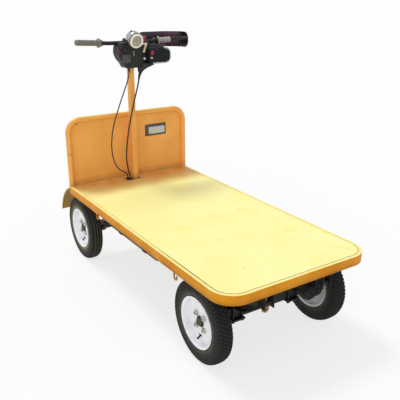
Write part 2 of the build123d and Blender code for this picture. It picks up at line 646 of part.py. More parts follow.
# One row per point of a route: how far behind the post, Y and Z
BRAKE_CABLE_ROUTE = [
    (41, 30, COVER_FLOOR), (41, 30, 1214), (41, 45, 1166), (41, 83, 1082), (42, 122, 990),
    (42, 158, 897), (41, 178, 804), (40, 180, 709), (37, 160, 627), (29, 122, 579),
    (18, 83, 559), (10, 58, 535), (10, 58, GROMMET_TOP),
]
LOOM_ROUTE = [
    (LOOM_BACK, LOOM_Y, LOOM_TOP), (LOOM_BACK, LOOM_Y, 1194), (42, -31, 1143), (42, -4, 1057), (42, 24, 961),
    (42, 48, 864), (42, 67, 766), (42, 78, 672), (42, 71, 597), (34, 60, 556),
    (20, 47, 530), (20, 47, GROMMET_TOP),
]


def cable(name, route, radius):
    """A cable along its route, each bend as round as its two runs allow."""
    points = [Vector(POST_X - back, y, z) for back, y, z in route]
    runs = [after - before for before, after in zip(points, points[1:])]
    bends = []
    for run, following in zip(runs, runs[1:]):
        half_turn = math.radians(run.get_angle(following)) / 2
        bends.append(BEND_SHARE * min(run.length, following.length) / math.tan(half_turn))
    tube = bent([tuple(point) for point in points], radius, bends)
    length = tube.volume / (math.pi * radius ** 2)
    print(name, "bend radii", [round(bend) for bend in bends], "length", round(length))
    keep(name, tube)


cable("brake_cable", BRAKE_CABLE_ROUTE, 4.0)
cable("control_loom", LOOM_ROUTE, 5.0)

# Rear axle: beam, stub axles, brake plates and the drive unit in front of it
REAR_HALF = 30.0
BRAKE_INSET = 65.0
BRAKE_RADIUS = 88.0
BRAKE_SHEET = 8.0
REAR_END = REAR_TRACK - BRAKE_INSET
rear_beam = block(about(REAR_AXLE, REAR_HALF), about(0, REAR_END), about(AXLE_Z, REAR_HALF))
rear_beam += crosswise(REAR_AXLE, AXLE_Z, about(0, REAR_TRACK + STUB_REACH), STUB_RADIUS)
rear_beam += crosswise(REAR_AXLE, AXLE_Z, about(0, REAR_TRACK - HUB_INNER - 1), SHOULDER_RADIUS)
keep("rear_axle_beam", rear_beam)
brake_plate = crosswise(REAR_AXLE, AXLE_Z, (REAR_END, REAR_END + BRAKE_SHEET), BRAKE_RADIUS)
brake_plate -= crosswise(REAR_AXLE, AXLE_Z, (0, HALF_WIDTH), SHOULDER_RADIUS)
cam_x, cam_z = REAR_AXLE + 48, AXLE_Z + 40
cam_y = REAR_END - 11
brake_plate += crosswise(cam_x, cam_z, (REAR_END - 14, REAR_END), 9.0)
brake_plate += rod((cam_x, cam_y, cam_z), (cam_x + 55, cam_y, cam_z + 45), 6.0)
keep("rear_brake_plates", brake_plate, flipped(brake_plate))
BEAM_FRONT = REAR_AXLE + REAR_HALF
GEARBOX = {"length": 120.0, "y": (-130.0, -40.0), "z": (AXLE_Z - 65, AXLE_Z + 70), "corner": 14.0}
MOTOR = {"forward": 75.0, "y": (-40.0, 125.0), "radius": 62.0}
COOLING_RING = {"first": -20, "end": 110, "pitch": 14, "width": 5.0, "radius": 68.0}
gearbox = block((BEAM_FRONT, BEAM_FRONT + GEARBOX["length"]), GEARBOX["y"], GEARBOX["z"])
drive_unit = chamfer(gearbox.edges().filter_by(Axis.Y), GEARBOX["corner"])
motor_x = BEAM_FRONT + MOTOR["forward"]
drive_unit += crosswise(motor_x, AXLE_Z, MOTOR["y"], MOTOR["radius"])
for y in range(COOLING_RING["first"], COOLING_RING["end"], COOLING_RING["pitch"]):
    drive_unit += crosswise(motor_x, AXLE_Z, (y, y + COOLING_RING["width"]), COOLING_RING["radius"])
keep("drive_unit", drive_unit)

# Rear leaf springs, with their hangers and axle clamps
LEAF = 7.0
SPRING_HALF = 22.0
EYE_X = 250.0
EYE_RISE = 110.0
SPRING_EYE = 14.0
SPRING_PIN = 6.0
spring_low = AXLE_Z + REAR_HALF
spring_span = about(SUBRAIL_Y, SPRING_HALF)


def leaf(level, half_length):
    """One leaf as a shallow arc on the beam, numbered upward."""
    rise = EYE_RISE * (half_length / EYE_X) ** 2
    low = spring_low + level * LEAF
    upper = [(-half_length, low + rise + LEAF), (0, low + LEAF), (half_length, low + rise + LEAF)]
    lower = [(-half_length, low + rise), (0, low), (half_length, low + rise)]
    edges = [
        ThreePointArc(*upper),
        Line(upper[2], lower[2]),
        ThreePointArc(*reversed(lower)),
        Line(lower[0], upper[0]),
    ]
    return Pos(REAR_AXLE, 0, 0) * plate_xz(make_face(edges), *spring_span)


LEAVES = [
    {"level": 0, "half_length": 130.0},
    {"level": 1, "half_length": 190.0},
    {"level": 2, "half_length": EYE_X},
]
pack_high = spring_low + len(LEAVES) * LEAF
eye_z = pack_high - LEAF / 2 + EYE_RISE
eye_places = (REAR_AXLE - EYE_X, REAR_AXLE + EYE_X)
spring = leaf(**LEAVES[0]) + leaf(**LEAVES[1]) + leaf(**LEAVES[2])
for x in eye_places:
    spring += crosswise(x, eye_z, spring_span, SPRING_EYE)
    spring -= crosswise(x, eye_z, (0, HALF_WIDTH), SPRING_PIN)
keep("leaf_springs", spring, flipped(spring))
HANGER_HALF = 24.0
HANGER_SHEET = 5.0
HANGER_GAP = 1.0
cheek = SPRING_HALF + HANGER_GAP
hangers = []
for x in eye_places:
    hanger = block(about(x, HANGER_HALF), about(SUBRAIL_Y, cheek + HANGER_SHEET), (eye_z - 18, FRAME_LOW))
    hanger -= block(about(x, 2 * HANGER_HALF), about(SUBRAIL_Y, cheek), (0, FRAME_LOW - HANGER_SHEET))
    hanger += crosswise(x, eye_z, about(SUBRAIL_Y, cheek + 2 * HANGER_SHEET), SPRING_PIN)
    hangers += [hanger, flipped(hanger)]
keep("spring_hangers", *hangers)
U_BOLT = 5.0
U_PLATE_X = 50.0
U_PLATE_Y = 40.0
U_PLATE = 10.0
CAP_PLATE = 8.0
CAP_LIFT = 5.0
u_low = AXLE_Z - REAR_HALF - U_PLATE
cap_span = (pack_high + CAP_LIFT, pack_high + CAP_LIFT + CAP_PLATE)
clamp_set = block(about(REAR_AXLE, U_PLATE_X), about(SUBRAIL_Y, U_PLATE_Y), (u_low, AXLE_Z - REAR_HALF))
clamp_set += block(about(REAR_AXLE, U_PLATE_X), about(SUBRAIL_Y, U_PLATE_Y), cap_span)
for x in about(REAR_AXLE, REAR_HALF + U_BOLT + 3):
    for y in about(SUBRAIL_Y, SPRING_HALF + U_BOLT + 1):
        clamp_set += upright(x, y, (u_low - U_PLATE, cap_span[1]), U_BOLT)
keep("axle_clamps", clamp_set, flipped(clamp_set))

# Tow lug on the back of the rear beam
LUG_BACK = REAR_AXLE - REAR_HALF
LUG_SHEET = 10.0
LUG_HALF = 22.0
LUG_DROP = 35.0
LUG_HOLE = 9.0
lug_span = (LUG_BACK - LUG_SHEET, LUG_BACK)
lug_z = AXLE_Z - LUG_DROP
lug = block(lug_span, about(0, LUG_HALF), (lug_z, AXLE_Z + REAR_HALF))
lug += rod((lug_span[0], 0, lug_z), (lug_span[1], 0, lug_z), LUG_HALF)
lug -= rod((lug_span[0] - CUT, 0, lug_z), (lug_span[1] + CUT, 0, lug_z), LUG_HOLE)
keep("tow_lug", lug)

# Battery box with its straps, and the controller, under the deck
BATTERY_LOW = FRAME_LOW - BATTERY_HEIGHT
STRAP = {"shares": (0.25, 0.75), "half_width": 20.0, "sheet": 3.0}
battery = block(BATTERY_SPAN, about(0, BATTERY_HALF), (BATTERY_LOW, FRAME_LOW))
battery_length = BATTERY_SPAN[1] - BATTERY_SPAN[0]
battery = fillet(battery.edges().filter_by(Axis.Z), BATTERY_CORNER)
for share in STRAP["shares"]:
    strap_span = about(BATTERY_SPAN[1] - battery_length * share, STRAP["half_width"])
    strap_y = about(0, BATTERY_HALF + STRAP["sheet"])
    battery += block(strap_span, strap_y, (BATTERY_LOW - STRAP["sheet"], FRAME_LOW))
keep("battery_box", battery)
CONTROLLER = {"behind_battery": 25.0, "length": 180.0, "half_width": 110.0, "height": 70.0}
controller_front = BATTERY_SPAN[0] - CONTROLLER["behind_battery"]
controller_span = (controller_front - CONTROLLER["length"], controller_front)
controller_z = (FRAME_LOW - CONTROLLER["height"], FRAME_LOW)
keep("controller", block(controller_span, about(0, CONTROLLER["half_width"]), controller_z))

# Wheels, turned about Y with the outer face toward +Y
BEAD_HALF = 32.0
SHOULDER = 15.0
TREAD_HALF = 24.0
RIM_RADIUS = BEAD_RADIUS + RIM_LIP
RIM_SHEET = 3.0
SIDEWALL = BEAD_RADIUS + 38
tyre_half = [
    (BEAD_RADIUS, BEAD_HALF),
    (SIDEWALL, TYRE_HALF_WIDTH),
    (TYRE_RADIUS - SHOULDER, TYRE_HALF_WIDTH - 2),
    (TYRE_RADIUS, TREAD_HALF),
]
tyre = turned([(radius, -y) for radius, y in tyre_half] + tyre_half[::-1])
well = BEAD_RADIUS - RIM_SHEET
DISC_Y = 8.0
DISC_SHEET = 4.0
DISH_RADIUS = 92.0
HUB_BORE = 30.0
rim_profile = [
    (RIM_RADIUS, BEAD_HALF + 7),
    (RIM_RADIUS, BEAD_HALF + 4.5),
    (BEAD_RADIUS, BEAD_HALF + 0.5),
    (BEAD_RADIUS, -BEAD_HALF - 0.5),
    (RIM_RADIUS, -BEAD_HALF - 4.5),
    (RIM_RADIUS, -BEAD_HALF - 7),
    (well, -BEAD_HALF - RIM_SHEET),
    (well, 0),
    (DISH_RADIUS, DISC_Y),
    (HUB_BORE, DISC_Y),
    (HUB_BORE, DISC_Y + DISC_SHEET),
    (DISH_RADIUS + 1, DISC_Y + DISC_SHEET),
    (well, 5),
    (well, BEAD_HALF + RIM_SHEET),
]
rim = turned(rim_profile)
VALVE_SLOT_RADIUS = 76.0
VALVE_SLOT = (34.0, 12.0)
slot_plane = Plane(origin=(0, DISC_Y - DISC_SHEET, -VALVE_SLOT_RADIUS), z_dir=(0, 1, 0), x_dir=(1, 0, 0))
rim -= slot_plane.location * extrude(SlotOverall(*VALVE_SLOT), 3 * DISC_SHEET)
hub_profile = [
    (0, -HUB_INNER),
    (HUB_BORE - 2, -HUB_INNER),
    (HUB_BORE - 2, DISC_Y - 8),
    (64, DISC_Y - 8),
    (64, DISC_Y),
    (HUB_BORE - 0.5, DISC_Y),
    (HUB_BORE - 0.5, DISC_Y + 6),
    (25, DISC_Y + 6),
    (25, STUB_REACH),
    (20, STUB_REACH + 7),
    (0, STUB_REACH + 7),
]
hub = turned(hub_profile)
STUD_CIRCLE = 47.0
STUD = 6.0
STUD_GAP = 0.5
NUT = {"radius": 11.0, "height": 11.0}
disc_face = DISC_Y + DISC_SHEET
for angle in (45, 135, 225, 315):
    x = STUD_CIRCLE * math.cos(math.radians(angle))
    z = STUD_CIRCLE * math.sin(math.radians(angle))
    rim -= crosswise(x, z, about(disc_face, 2 * DISC_SHEET), STUD + STUD_GAP)
    hub += crosswise(x, z, (DISC_Y - DISC_SHEET, disc_face), STUD)
    nut_place = Plane(origin=(x, disc_face, z), z_dir=(0, 1, 0)).location
    hub += nut_place * extrude(RegularPolygon(NUT["radius"], 6), NUT["height"])
hub -= crosswise(0, 0, (-HUB_INNER - CUT, STUB_REACH + 2), STUB_RADIUS + RUNNING_GAP)
DRUM_WALL = 6.0
DRUM_RADIUS = 80.0
BRAKE_GAP = 7.0
drum_back = -BRAKE_INSET + BRAKE_SHEET + BRAKE_GAP
brake_drum = turned([
    (HUB_BORE - 2, -14),
    (DRUM_RADIUS - DRUM_WALL, -14),
    (DRUM_RADIUS - DRUM_WALL, drum_back),
    (DRUM_RADIUS, drum_back),
    (DRUM_RADIUS, -14 + DRUM_WALL),
    (HUB_BORE - 2, -14 + DRUM_WALL),
])
WHEELS = [
    {"name": "front_left", "x": FRONT_AXLE, "y": HALF_TRACK, "side": 1, "hub": hub},
    {"name": "front_right", "x": FRONT_AXLE, "y": HALF_TRACK, "side": -1, "hub": hub},
    {"name": "rear_left", "x": REAR_AXLE, "y": REAR_TRACK, "side": 1, "hub": hub + brake_drum},
    {"name": "rear_right", "x": REAR_AXLE, "y": REAR_TRACK, "side": -1, "hub": hub + brake_drum},
]
for wheel in WHEELS:
    for kind, solid in (("tyre", tyre), ("rim", rim), ("hub", wheel["hub"])):
        placed = Pos(wheel["x"], wheel["y"], AXLE_Z) * solid
        keep(f"{wheel['name']}_{kind}", placed if wheel["side"] > 0 else flipped(placed))

os.makedirs("parts", exist_ok=True)
for name, solids in PARTS.items():
    shape = solids[0] if len(solids) == 1 else Compound(solids)
    export_step(shape, f"parts/{name}.step")
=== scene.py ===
# %% [markdown]
# # Dressing an electric platform cart
# The cart's solids come from the CAD frame, already in place and in metres. This lesson gives them
# paint, rubber and plastic, and adds what the solids leave out: hanging cables, tyre tread, grip ribs,
# lamp glass, nuts and small switches. X points forward, Y to the left and Z up.

# %% Load the frame
import math

import bpy
import numpy as np
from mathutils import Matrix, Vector


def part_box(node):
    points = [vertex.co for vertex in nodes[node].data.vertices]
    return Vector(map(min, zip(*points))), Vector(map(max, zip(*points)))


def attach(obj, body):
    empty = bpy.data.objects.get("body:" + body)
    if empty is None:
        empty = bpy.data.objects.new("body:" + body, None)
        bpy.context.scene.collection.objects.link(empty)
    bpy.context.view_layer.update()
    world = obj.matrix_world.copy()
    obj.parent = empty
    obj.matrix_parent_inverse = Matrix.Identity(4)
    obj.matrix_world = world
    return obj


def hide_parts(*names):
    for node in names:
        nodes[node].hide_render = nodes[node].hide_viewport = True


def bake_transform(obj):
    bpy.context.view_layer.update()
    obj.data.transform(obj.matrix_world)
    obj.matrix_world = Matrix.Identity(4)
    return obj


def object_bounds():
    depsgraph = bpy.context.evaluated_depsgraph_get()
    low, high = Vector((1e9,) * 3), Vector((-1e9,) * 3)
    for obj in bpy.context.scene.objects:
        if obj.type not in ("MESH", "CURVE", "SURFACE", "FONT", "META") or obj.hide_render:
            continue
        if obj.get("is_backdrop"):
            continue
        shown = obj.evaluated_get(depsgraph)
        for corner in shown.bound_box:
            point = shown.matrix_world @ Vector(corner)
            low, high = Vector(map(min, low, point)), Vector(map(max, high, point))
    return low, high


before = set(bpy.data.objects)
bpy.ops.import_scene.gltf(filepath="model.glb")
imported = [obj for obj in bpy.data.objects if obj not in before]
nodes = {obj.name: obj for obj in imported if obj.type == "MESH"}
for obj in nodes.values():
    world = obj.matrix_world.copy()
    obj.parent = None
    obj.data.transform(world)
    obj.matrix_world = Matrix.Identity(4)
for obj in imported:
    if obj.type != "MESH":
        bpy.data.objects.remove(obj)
scene = bpy.context.scene
CAD_LOW, CAD_HIGH = (list(corner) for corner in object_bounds())
MM = 0.001
print("loaded", len(nodes), "nodes")

# %% [markdown]
# Every new piece is a surface on a grid whose columns run round it. Its rows are joined end to end, as
# in a tyre, or closed by one face at each end, as in a tube. One function turns such an array of
# points into a mesh, so no piece needs its own bookkeeping of faces.


# %% From a grid of points to a mesh
def grid_faces(rows, columns, closed):
    """Quads of a grid: corner (i, j) joins (i+1, j), (i+1, j+1) and (i, j+1), modulo the grid."""
    i = np.arange(rows if closed else rows - 1)[:, None]
    j = np.arange(columns)[None, :]
    corner = lambda a, b: (a % rows) * columns + b % columns
    quads = [corner(i, j), corner(i + 1, j), corner(i + 1, j + 1), corner(i, j + 1)]
    return np.stack(quads, axis=-1).reshape(-1, 4)


def outward(points, quads, rims):
    """Turns a closed grid's faces outward: the volume summed over their triangles has to be positive."""
    fans = [np.stack([np.full(len(rim) - 2, rim[0]), rim[1:-1], rim[2:]], axis=1) for rim in rims]
    a, b, c = points[np.concatenate([quads[:, [0, 1, 2]], quads[:, [0, 2, 3]], *fans])].transpose(1, 0, 2)
    if np.einsum("ij,ij->", a, np.cross(b, c)) < 0:
        return quads[:, ::-1], [rim[::-1] for rim in rims]
    return quads, rims


def new_object(name, data):
    """An object at the origin, in the scene."""
    thing = bpy.data.objects.new(name, data)
    scene.collection.objects.link(thing)
    return thing


def surface(name, grids, body, material, closed=False, smooth=True, dust=None):
    """A piece from one or more grids of points (rows, columns, 3), on a body, with a material.
    If closed, a grid's last row joins its first. dust, from 0 to 1 at each point, is kept with the
    mesh for its material."""
    points, faces, start = [], [], 0
    for grid in grids:
        rows, columns = grid.shape[:2]
        flat = grid.reshape(-1, 3)
        ring = np.arange(columns)
        rims = [] if closed else [ring, ring[::-1] + (rows - 1) * columns]
        quads, rims = outward(flat, grid_faces(rows, columns, closed), rims)
        points.append(flat)
        faces += (quads + start).tolist() + [(rim + start).tolist() for rim in rims]
        start += rows * columns
    mesh = bpy.data.meshes.new(name)
    mesh.from_pydata(np.concatenate(points).tolist(), [], faces)
    mesh.polygons.foreach_set("use_smooth", [smooth] * len(mesh.polygons))
    mesh.materials.append(material)
    if dust is not None:
        mesh.attributes.new("dust", "FLOAT", "POINT").data.foreach_set("value", dust.ravel())
    piece = new_object(name, mesh)
    if body:
        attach(piece, body)
    print(name, len(mesh.polygons), "faces")
    return piece


def round_angles(count):
    """Evenly spaced angles of a full turn."""
    return np.linspace(0, 2 * math.pi, count, endpoint=False)


def turned(profile, centre, axis, count):
    """Rows along a profile of (distance along the axis, radius) in millimetres, columns round it:
    centre + along * axis + radius * (cos t * u + sin t * v)."""
    profile = np.asarray(profile, float) * MM
    axis = np.asarray(axis, float) / np.linalg.norm(axis)
    u = np.cross(axis, (0, 0, 1) if abs(axis[2]) < 0.9 else (1, 0, 0))
    u /= np.linalg.norm(u)
    v = np.cross(axis, u)
    t = round_angles(count)
    ring = np.cos(t)[:, None] * u + np.sin(t)[:, None] * v
    along = profile[:, 0, None, None] * axis
    return np.asarray(centre, float) + along + profile[:, 1, None, None] * ring


def tube(path, radius, count):
    """A round tube: path point + radius * (cos t * side + sin t * up), with side square to the
    path's tangent."""
    path = np.asarray(path, float)
    tangent = np.gradient(path, axis=0)
    tangent /= np.linalg.norm(tangent, axis=1, keepdims=True)
    guide = np.eye(3)[np.argmin(np.abs(tangent).max(axis=0))]
    side = np.cross(tangent, guide)
    side /= np.linalg.norm(side, axis=1, keepdims=True)
    up = np.cross(side, tangent)
    t = round_angles(count)
    ring = np.cos(t)[None, :, None] * side[:, None] + np.sin(t)[None, :, None] * up[:, None]
    return path[:, None] + np.asarray(radius).reshape(-1, 1, 1) * ring


def run_length(line):
    """Length along a line of points, from 0 at the first."""
    return np.r_[0, np.cumsum(np.linalg.norm(np.diff(line, axis=0), axis=1))]


def at_lengths(line, along):
    """The points at the given lengths along a line."""
    length = run_length(line)
    return np.stack([np.interp(along, length, column) for column in line.T], axis=1)


# %% [markdown]
# Colours are written as they look on a screen and turned to the linear values that shaders add up.
# Paint, rubber and plastic on a working cart are never one flat colour, so each material mixes a
# clean and a used tone by noise, can carry layers such as chips, dust or dirt, and a finer noise gives
# its grain a little height.


# %% Colour and node helpers
def linear(colour):
    """sRGB hex to linear: c / 12.92 up to 0.04045, and ((c + 0.055) / 1.055) ** 2.4 above."""
    srgb = np.array([int(colour[i : i + 2], 16) for i in (0, 2, 4)]) / 255
    return (*np.where(srgb <= 0.04045, srgb / 12.92, ((srgb + 0.055) / 1.055) ** 2.4), 1.0)


def add(tree, kind, values=None, links=None, **settings):
    """Adds a node with its settings, the values of its inputs and the links into them."""
    node = tree.nodes.new(kind)
    for key, value in settings.items():
        setattr(node, key, value)
    for key, value in (values or {}).items():
        node.inputs[key].default_value = value
    for key, source in (links or {}).items():
        tree.links.new(source, node.inputs[key])
    return node


MIX_A, MIX_B, MIX_COLOUR = 6, 7, 2  # a colour mix node's sockets: two colours in, one out
WEAR_START, WEAR_FULL = 0.54, 0.84  # noise levels of the used tone for a share of 0
WEAR_SHIFT = 0.3  # how far a share of 1 lowers them
UP_START, UP_FULL = 0.55, 0.93  # the normal's Z where the painted highlight on faces that look up begins and is full
NOISE_LOW, NOISE_HIGH = 0.3, 0.7  # most of a noise lies between these
SPECK_EDGE = 0.05
BUMP_STRENGTH = 0.6


def finish(name, clean, used, patch_mm, share, grain_mm, grain, roughness, spread=0.12,
           specks=(), painted_top_highlight=None, dust=None, grime_and_shade=None, **shader):
    """A surface that goes from a clean to a used tone over patches of a real size, with a raised grain.
    share is how much of it is used and grain the bump's height in millimetres. specks are (colour, size
    in mm, stretch, noise level they start at). bleached are the two tones of a painted highlight of
    sunlight on faces that look up, dust is a colour laid on by the mesh's own dust attribute, and
    grime is (colour, axis, place along it in mm where it is full, place where it ends, strength): a tone
    laid on by place, which is grime on some surfaces and a painted shadow on others."""
    material = bpy.data.materials.new(name)
    material.use_nodes = True
    tree = material.node_tree
    bsdf = tree.nodes["Principled BSDF"]
    place = add(tree, "ShaderNodeTexCoord").outputs["Object"]
    broad = {"Scale": 1 / (patch_mm * MM), "Detail": 6.0, "Roughness": 0.62}
    patches = add(tree, "ShaderNodeTexNoise", broad, {"Vector": place}).outputs["Fac"]
    shift = WEAR_SHIFT * share
    worn = {"From Min": WEAR_START - shift, "From Max": WEAR_FULL - shift}
    wear = add(tree, "ShaderNodeMapRange", worn, {"Value": patches}).outputs["Result"]
    tones = {MIX_A: linear(clean), MIX_B: linear(used)}
    colour = add(tree, "ShaderNodeMix", tones, {0: wear}, data_type="RGBA").outputs[MIX_COLOUR]
    # Faces that look up get a painted highlight of sunlight
    if painted_top_highlight:
        normal = add(tree, "ShaderNodeNewGeometry").outputs["Normal"]
        height = add(tree, "ShaderNodeSeparateXYZ", links={0: normal}).outputs["Z"]
        facing = {"From Min": UP_START, "From Max": UP_FULL}
        upward = add(tree, "ShaderNodeMapRange", facing, {"Value": height}).outputs["Result"]
        tones = {MIX_A: linear(painted_top_highlight[0]), MIX_B: linear(painted_top_highlight[1])}
        pale = add(tree, "ShaderNodeMix", tones, {0: wear}, data_type="RGBA").outputs[MIX_COLOUR]
        both = {0: upward, MIX_A: colour, MIX_B: pale}
        colour = add(tree, "ShaderNodeMix", links=both, data_type="RGBA").outputs[MIX_COLOUR]
    layers = []
    for tone, size_mm, stretch, level in specks:
        drawn = add(tree, "ShaderNodeMapping", {"Scale": stretch}, {"Vector": place}).outputs["Vector"]
        small = {"Scale": 1 / (size_mm * MM), "Detail": 2.0}
        dots = add(tree, "ShaderNodeTexNoise", small, {"Vector": drawn}).outputs["Fac"]
        edge = {"From Min": level, "From Max": level + SPECK_EDGE}
        amount = add(tree, "ShaderNodeMapRange", edge, {"Value": dots}).outputs["Result"]
        layers.append((tone, amount))
    if dust:
        layers.append((dust, add(tree, "ShaderNodeAttribute", attribute_name="dust").outputs["Fac"]))
    # A tone laid on by place: grime, and on the deck a painted shadow
    if grime_and_shade:
        tone, axis, full, clear, strength = grime_and_shade
        level = add(tree, "ShaderNodeSeparateXYZ", links={0: place}).outputs[axis]
        fall = {"From Min": clear * MM, "From Max": full * MM, "To Max": strength}
        depth = add(tree, "ShaderNodeMapRange", fall, {"Value": level}).outputs["Result"]
        uneven = add(tree, "ShaderNodeMath", links={0: depth, 1: patches}, operation="MULTIPLY")
        layers.append((tone, uneven.outputs[0]))
    for tone, amount in layers:
        both = {0: amount, MIX_A: colour}
        colour = add(tree, "ShaderNodeMix", {MIX_B: linear(tone)}, both, data_type="RGBA").outputs[MIX_COLOUR]
    tree.links.new(colour, bsdf.inputs["Base Color"])
    span = {"From Min": NOISE_LOW, "From Max": NOISE_HIGH}
    span |= {"To Min": roughness - spread, "To Max": roughness + spread}
    dull = add(tree, "ShaderNodeMapRange", span, {"Value": patches})
    tree.links.new(dull.outputs["Result"], bsdf.inputs["Roughness"])
    fine = add(tree, "ShaderNodeTexNoise", {"Scale": 1 / (grain_mm * MM), "Detail": 3.0}, {"Vector": place})
    raised = {"Strength": BUMP_STRENGTH, "Distance": grain * MM}
    bump = add(tree, "ShaderNodeBump", raised, {"Height": fine.outputs["Fac"]})
    tree.links.new(bump.outputs["Normal"], bsdf.inputs["Normal"])
    for key, value in shader.items():
        bsdf.inputs[key.replace("_", " ")].default_value = value
    return material


# %% Materials, one per finish on the cart
# The numbers are in finish's order: patch in mm, share used, grain in mm, its height in mm, roughness
EVEN = (1, 1, 1)
ACROSS = (1, 0.3, 1)  # drawn out across the cart
# Sprayed enamel on the headboard and the post: slight orange peel, a few chips down to brown primer, and a
# painted highlight of sunlight on faces that look up
BOARD_PAINT = finish(
    "sprayed_enamel_orange", "F4AF58", "E69E48", 260, 0.4, 3.0, 0.05, 0.48,
    specks=[("9A6428", 7, EVEN, 0.76)], painted_top_highlight=("F9D680", "F4C468"), grime_and_shade=("9A6A2A", "Z", 500, 545, 1.0),
    Specular_IOR_Level=0.3,
)
# The same enamel on the rails, deeper where hands and ropes rub it, with a painted highlight of sunlight on
# top, and grimy along the foot
RAIL_PAINT = finish(
    "handled_enamel_orange", "E0940E", "CE820C", 140, 0.45, 3.0, 0.05, 0.52,
    specks=[("8A5A22", 8, EVEN, 0.745)], painted_top_highlight=("FDF0A2", "FAE486"), grime_and_shade=("7A4E1C", "Z", 446, 470, 1.0),
    Specular_IOR_Level=0.2,
)
# The same enamel on the deck, given as pale yellow, a painted highlight of full sunlight, with a
# deeper orange strip by the headboard that is a painted shadow, wide yellow patches, small smears and a
# few scratches
BOARD_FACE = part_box("headboard_panel")[0][0]
# Where the painted shadow by the headboard is full and where it ends, along X in millimetres
PAINTED_SHADOW_FULL, PAINTED_SHADOW_END = BOARD_FACE / MM - 90, BOARD_FACE / MM - 330
DECK_PAINT = finish(
    "scuffed_enamel_deck", "FDF7A8", "FAEE92", 300, 0.35, 4.0, 0.06, 0.5,
    specks=[("FFF193", 110, EVEN, 0.64), ("FFE766", 22, ACROSS, 0.70), ("D9B044", 5, EVEN, 0.785)],
    grime_and_shade=("DC8C30", "X", PAINTED_SHADOW_FULL, PAINTED_SHADOW_END, 1.7),
)
# The same enamel on the fenders and the tow lug, under olive road dust
DUSTY_PAINT = finish(
    "road_dusty_enamel", "B88E3A", "98793A", 90, 0.45, 2.0, 0.08, 0.6, specks=[("6A532A", 8, EVEN, 0.73)]
)
# Dark dirt and old sealer in the seam round the deck
SEAM_DIRT = finish("sealer_and_dirt", "3A2A16", "6E5026", 30, 0.5, 2.0, 0.1, 0.8)
# Black chassis paint with road dust
CHASSIS_BLACK = finish(
    "dusty_chassis_paint", "0F0F10", "2C2722", 90, 0.25, 2.5, 0.08, 0.58, specks=[("4E4130", 7, EVEN, 0.735)],
    Specular_IOR_Level=0.35,
)
# Forged and machined steel, slightly oily
BARE_STEEL = finish("oiled_steel", "77726A", "4A4238", 40, 0.4, 1.5, 0.04, 0.42, Metallic=1.0)
# Zinc-plated nuts and bolts: pale, faintly green
ZINC_PLATE = finish("zinc_plate", "C3C8BE", "9EA096", 14, 0.4, 1.0, 0.02, 0.34, Metallic=0.85)
# Brown rust and grease on the hubs
GREASED_HUB = finish("greased_iron", "2A211B", "4E3A2A", 16, 0.45, 2.0, 0.35, 0.55)
# Tyre rubber: dark and matt, with brown dust on its walls and rubbed pale on top of its blocks
TYRE_RUBBER = finish(
    "tyre_rubber", "121111", "211F1D", 55, 0.3, 1.2, 0.06, 0.8, dust="5E5A52", Specular_IOR_Level=0.3
)
# The front tyres' rubber, with olive dust on the walls
DUSTY_RUBBER = finish(
    "dusty_tyre_rubber", "121111", "211F1C", 70, 0.3, 1.2, 0.06, 0.8, dust="938C6C",
    Specular_IOR_Level=0.3,
)
# Soft black rubber for grommets and gaskets
SOFT_RUBBER = finish("moulded_rubber", "161616", "242220", 30, 0.3, 1.0, 0.03, 0.7)
# White enamel on the pressed rims, with grey smudges and brown dust
RIM_PAINT = finish(
    "white_rim_enamel", "F2F3F6", "E0E2E5", 60, 0.2, 2.0, 0.03, 0.35, specks=[("A89C8A", 7, EVEN, 0.765)]
)
# Moulded black plastic with a fine spark texture
BLACK_PLASTIC = finish("textured_abs", "151516", "242323", 50, 0.3, 1.2, 0.05, 0.52, Specular_IOR_Level=0.35)
# Blue-black plastic of the control box
BOX_PLASTIC = finish("slate_abs", "0C1315", "161E20", 45, 0.3, 1.2, 0.04, 0.5, Specular_IOR_Level=0.2)
# Grey plastic of the cover's panel, slightly red
PANEL_PLASTIC = finish("grey_abs", "4E4849", "3B3738", 20, 0.4, 1.0, 0.03, 0.5)
# Glossy plastic of the guard, with a painted sheen from blue-black to wine red
GUARD_PLASTIC = finish("gloss_abs", "221F2E", "17151A", 60, 0.3, 3.0, 0.02, 0.2, spread=0.06)
# Rubber of the long grip, brown-grey and pale where palms have worn it
GRIP_RUBBER = finish("worn_grip_rubber", "6F6862", "948C83", 25, 0.4, 1.0, 0.05, 0.6)
# Lighter rubber of the throttle sleeve
SLEEVE_RUBBER = finish("grey_sleeve_rubber", "9C9692", "BDB4AE", 20, 0.4, 1.0, 0.05, 0.55)
# Chromed steel lamp bowl, a little dulled
CHROME = finish("chromed_steel", "A9A9AB", "8A8A8C", 60, 0.3, 4.0, 0.01, 0.16, spread=0.05, Metallic=1.0)
# Cream plastic of the lamp ring, browned in patches
LAMP_PLASTIC = finish("cream_abs", "EFEADD", "CDBFA6", 22, 0.3, 1.5, 0.02, 0.35)
# Grey plastic of small buttons, and of the pale bead on the control box, which is a painted highlight
PALE_PLASTIC_AND_HIGHLIGHT = finish("pale_grey_abs_and_highlight", "C9CCC8", "A9ACA8", 12, 0.35, 1.0, 0.02, 0.4)
# Pressed glass of the lamp, seen as warm grey
LAMP_GLASS = finish(
    "pressed_glass", "C9C3BA", "8F867A", 9, 0.5, 2.0, 0.05, 0.16, spread=0.05, Transmission_Weight=0.3
)
# Red switch plastic, and the dark red lens on the cover
RED_PLASTIC = finish("red_switch_plastic", "A8121E", "800C16", 20, 0.3, 1.0, 0.02, 0.36)
DARK_RED = finish("dark_red_abs", "4A1517", "331012", 10, 0.4, 1.0, 0.02, 0.3)
# Cream painted steel of the lamp's stay, and the olive strip on the cover
CREAM_PAINT = finish("cream_enamel", "E6DCC2", "C9B68E", 20, 0.3, 1.0, 0.02, 0.4)
OLIVE_PAINT = finish("olive_enamel", "8A8560", "6E6A4A", 12, 0.4, 1.0, 0.02, 0.45)
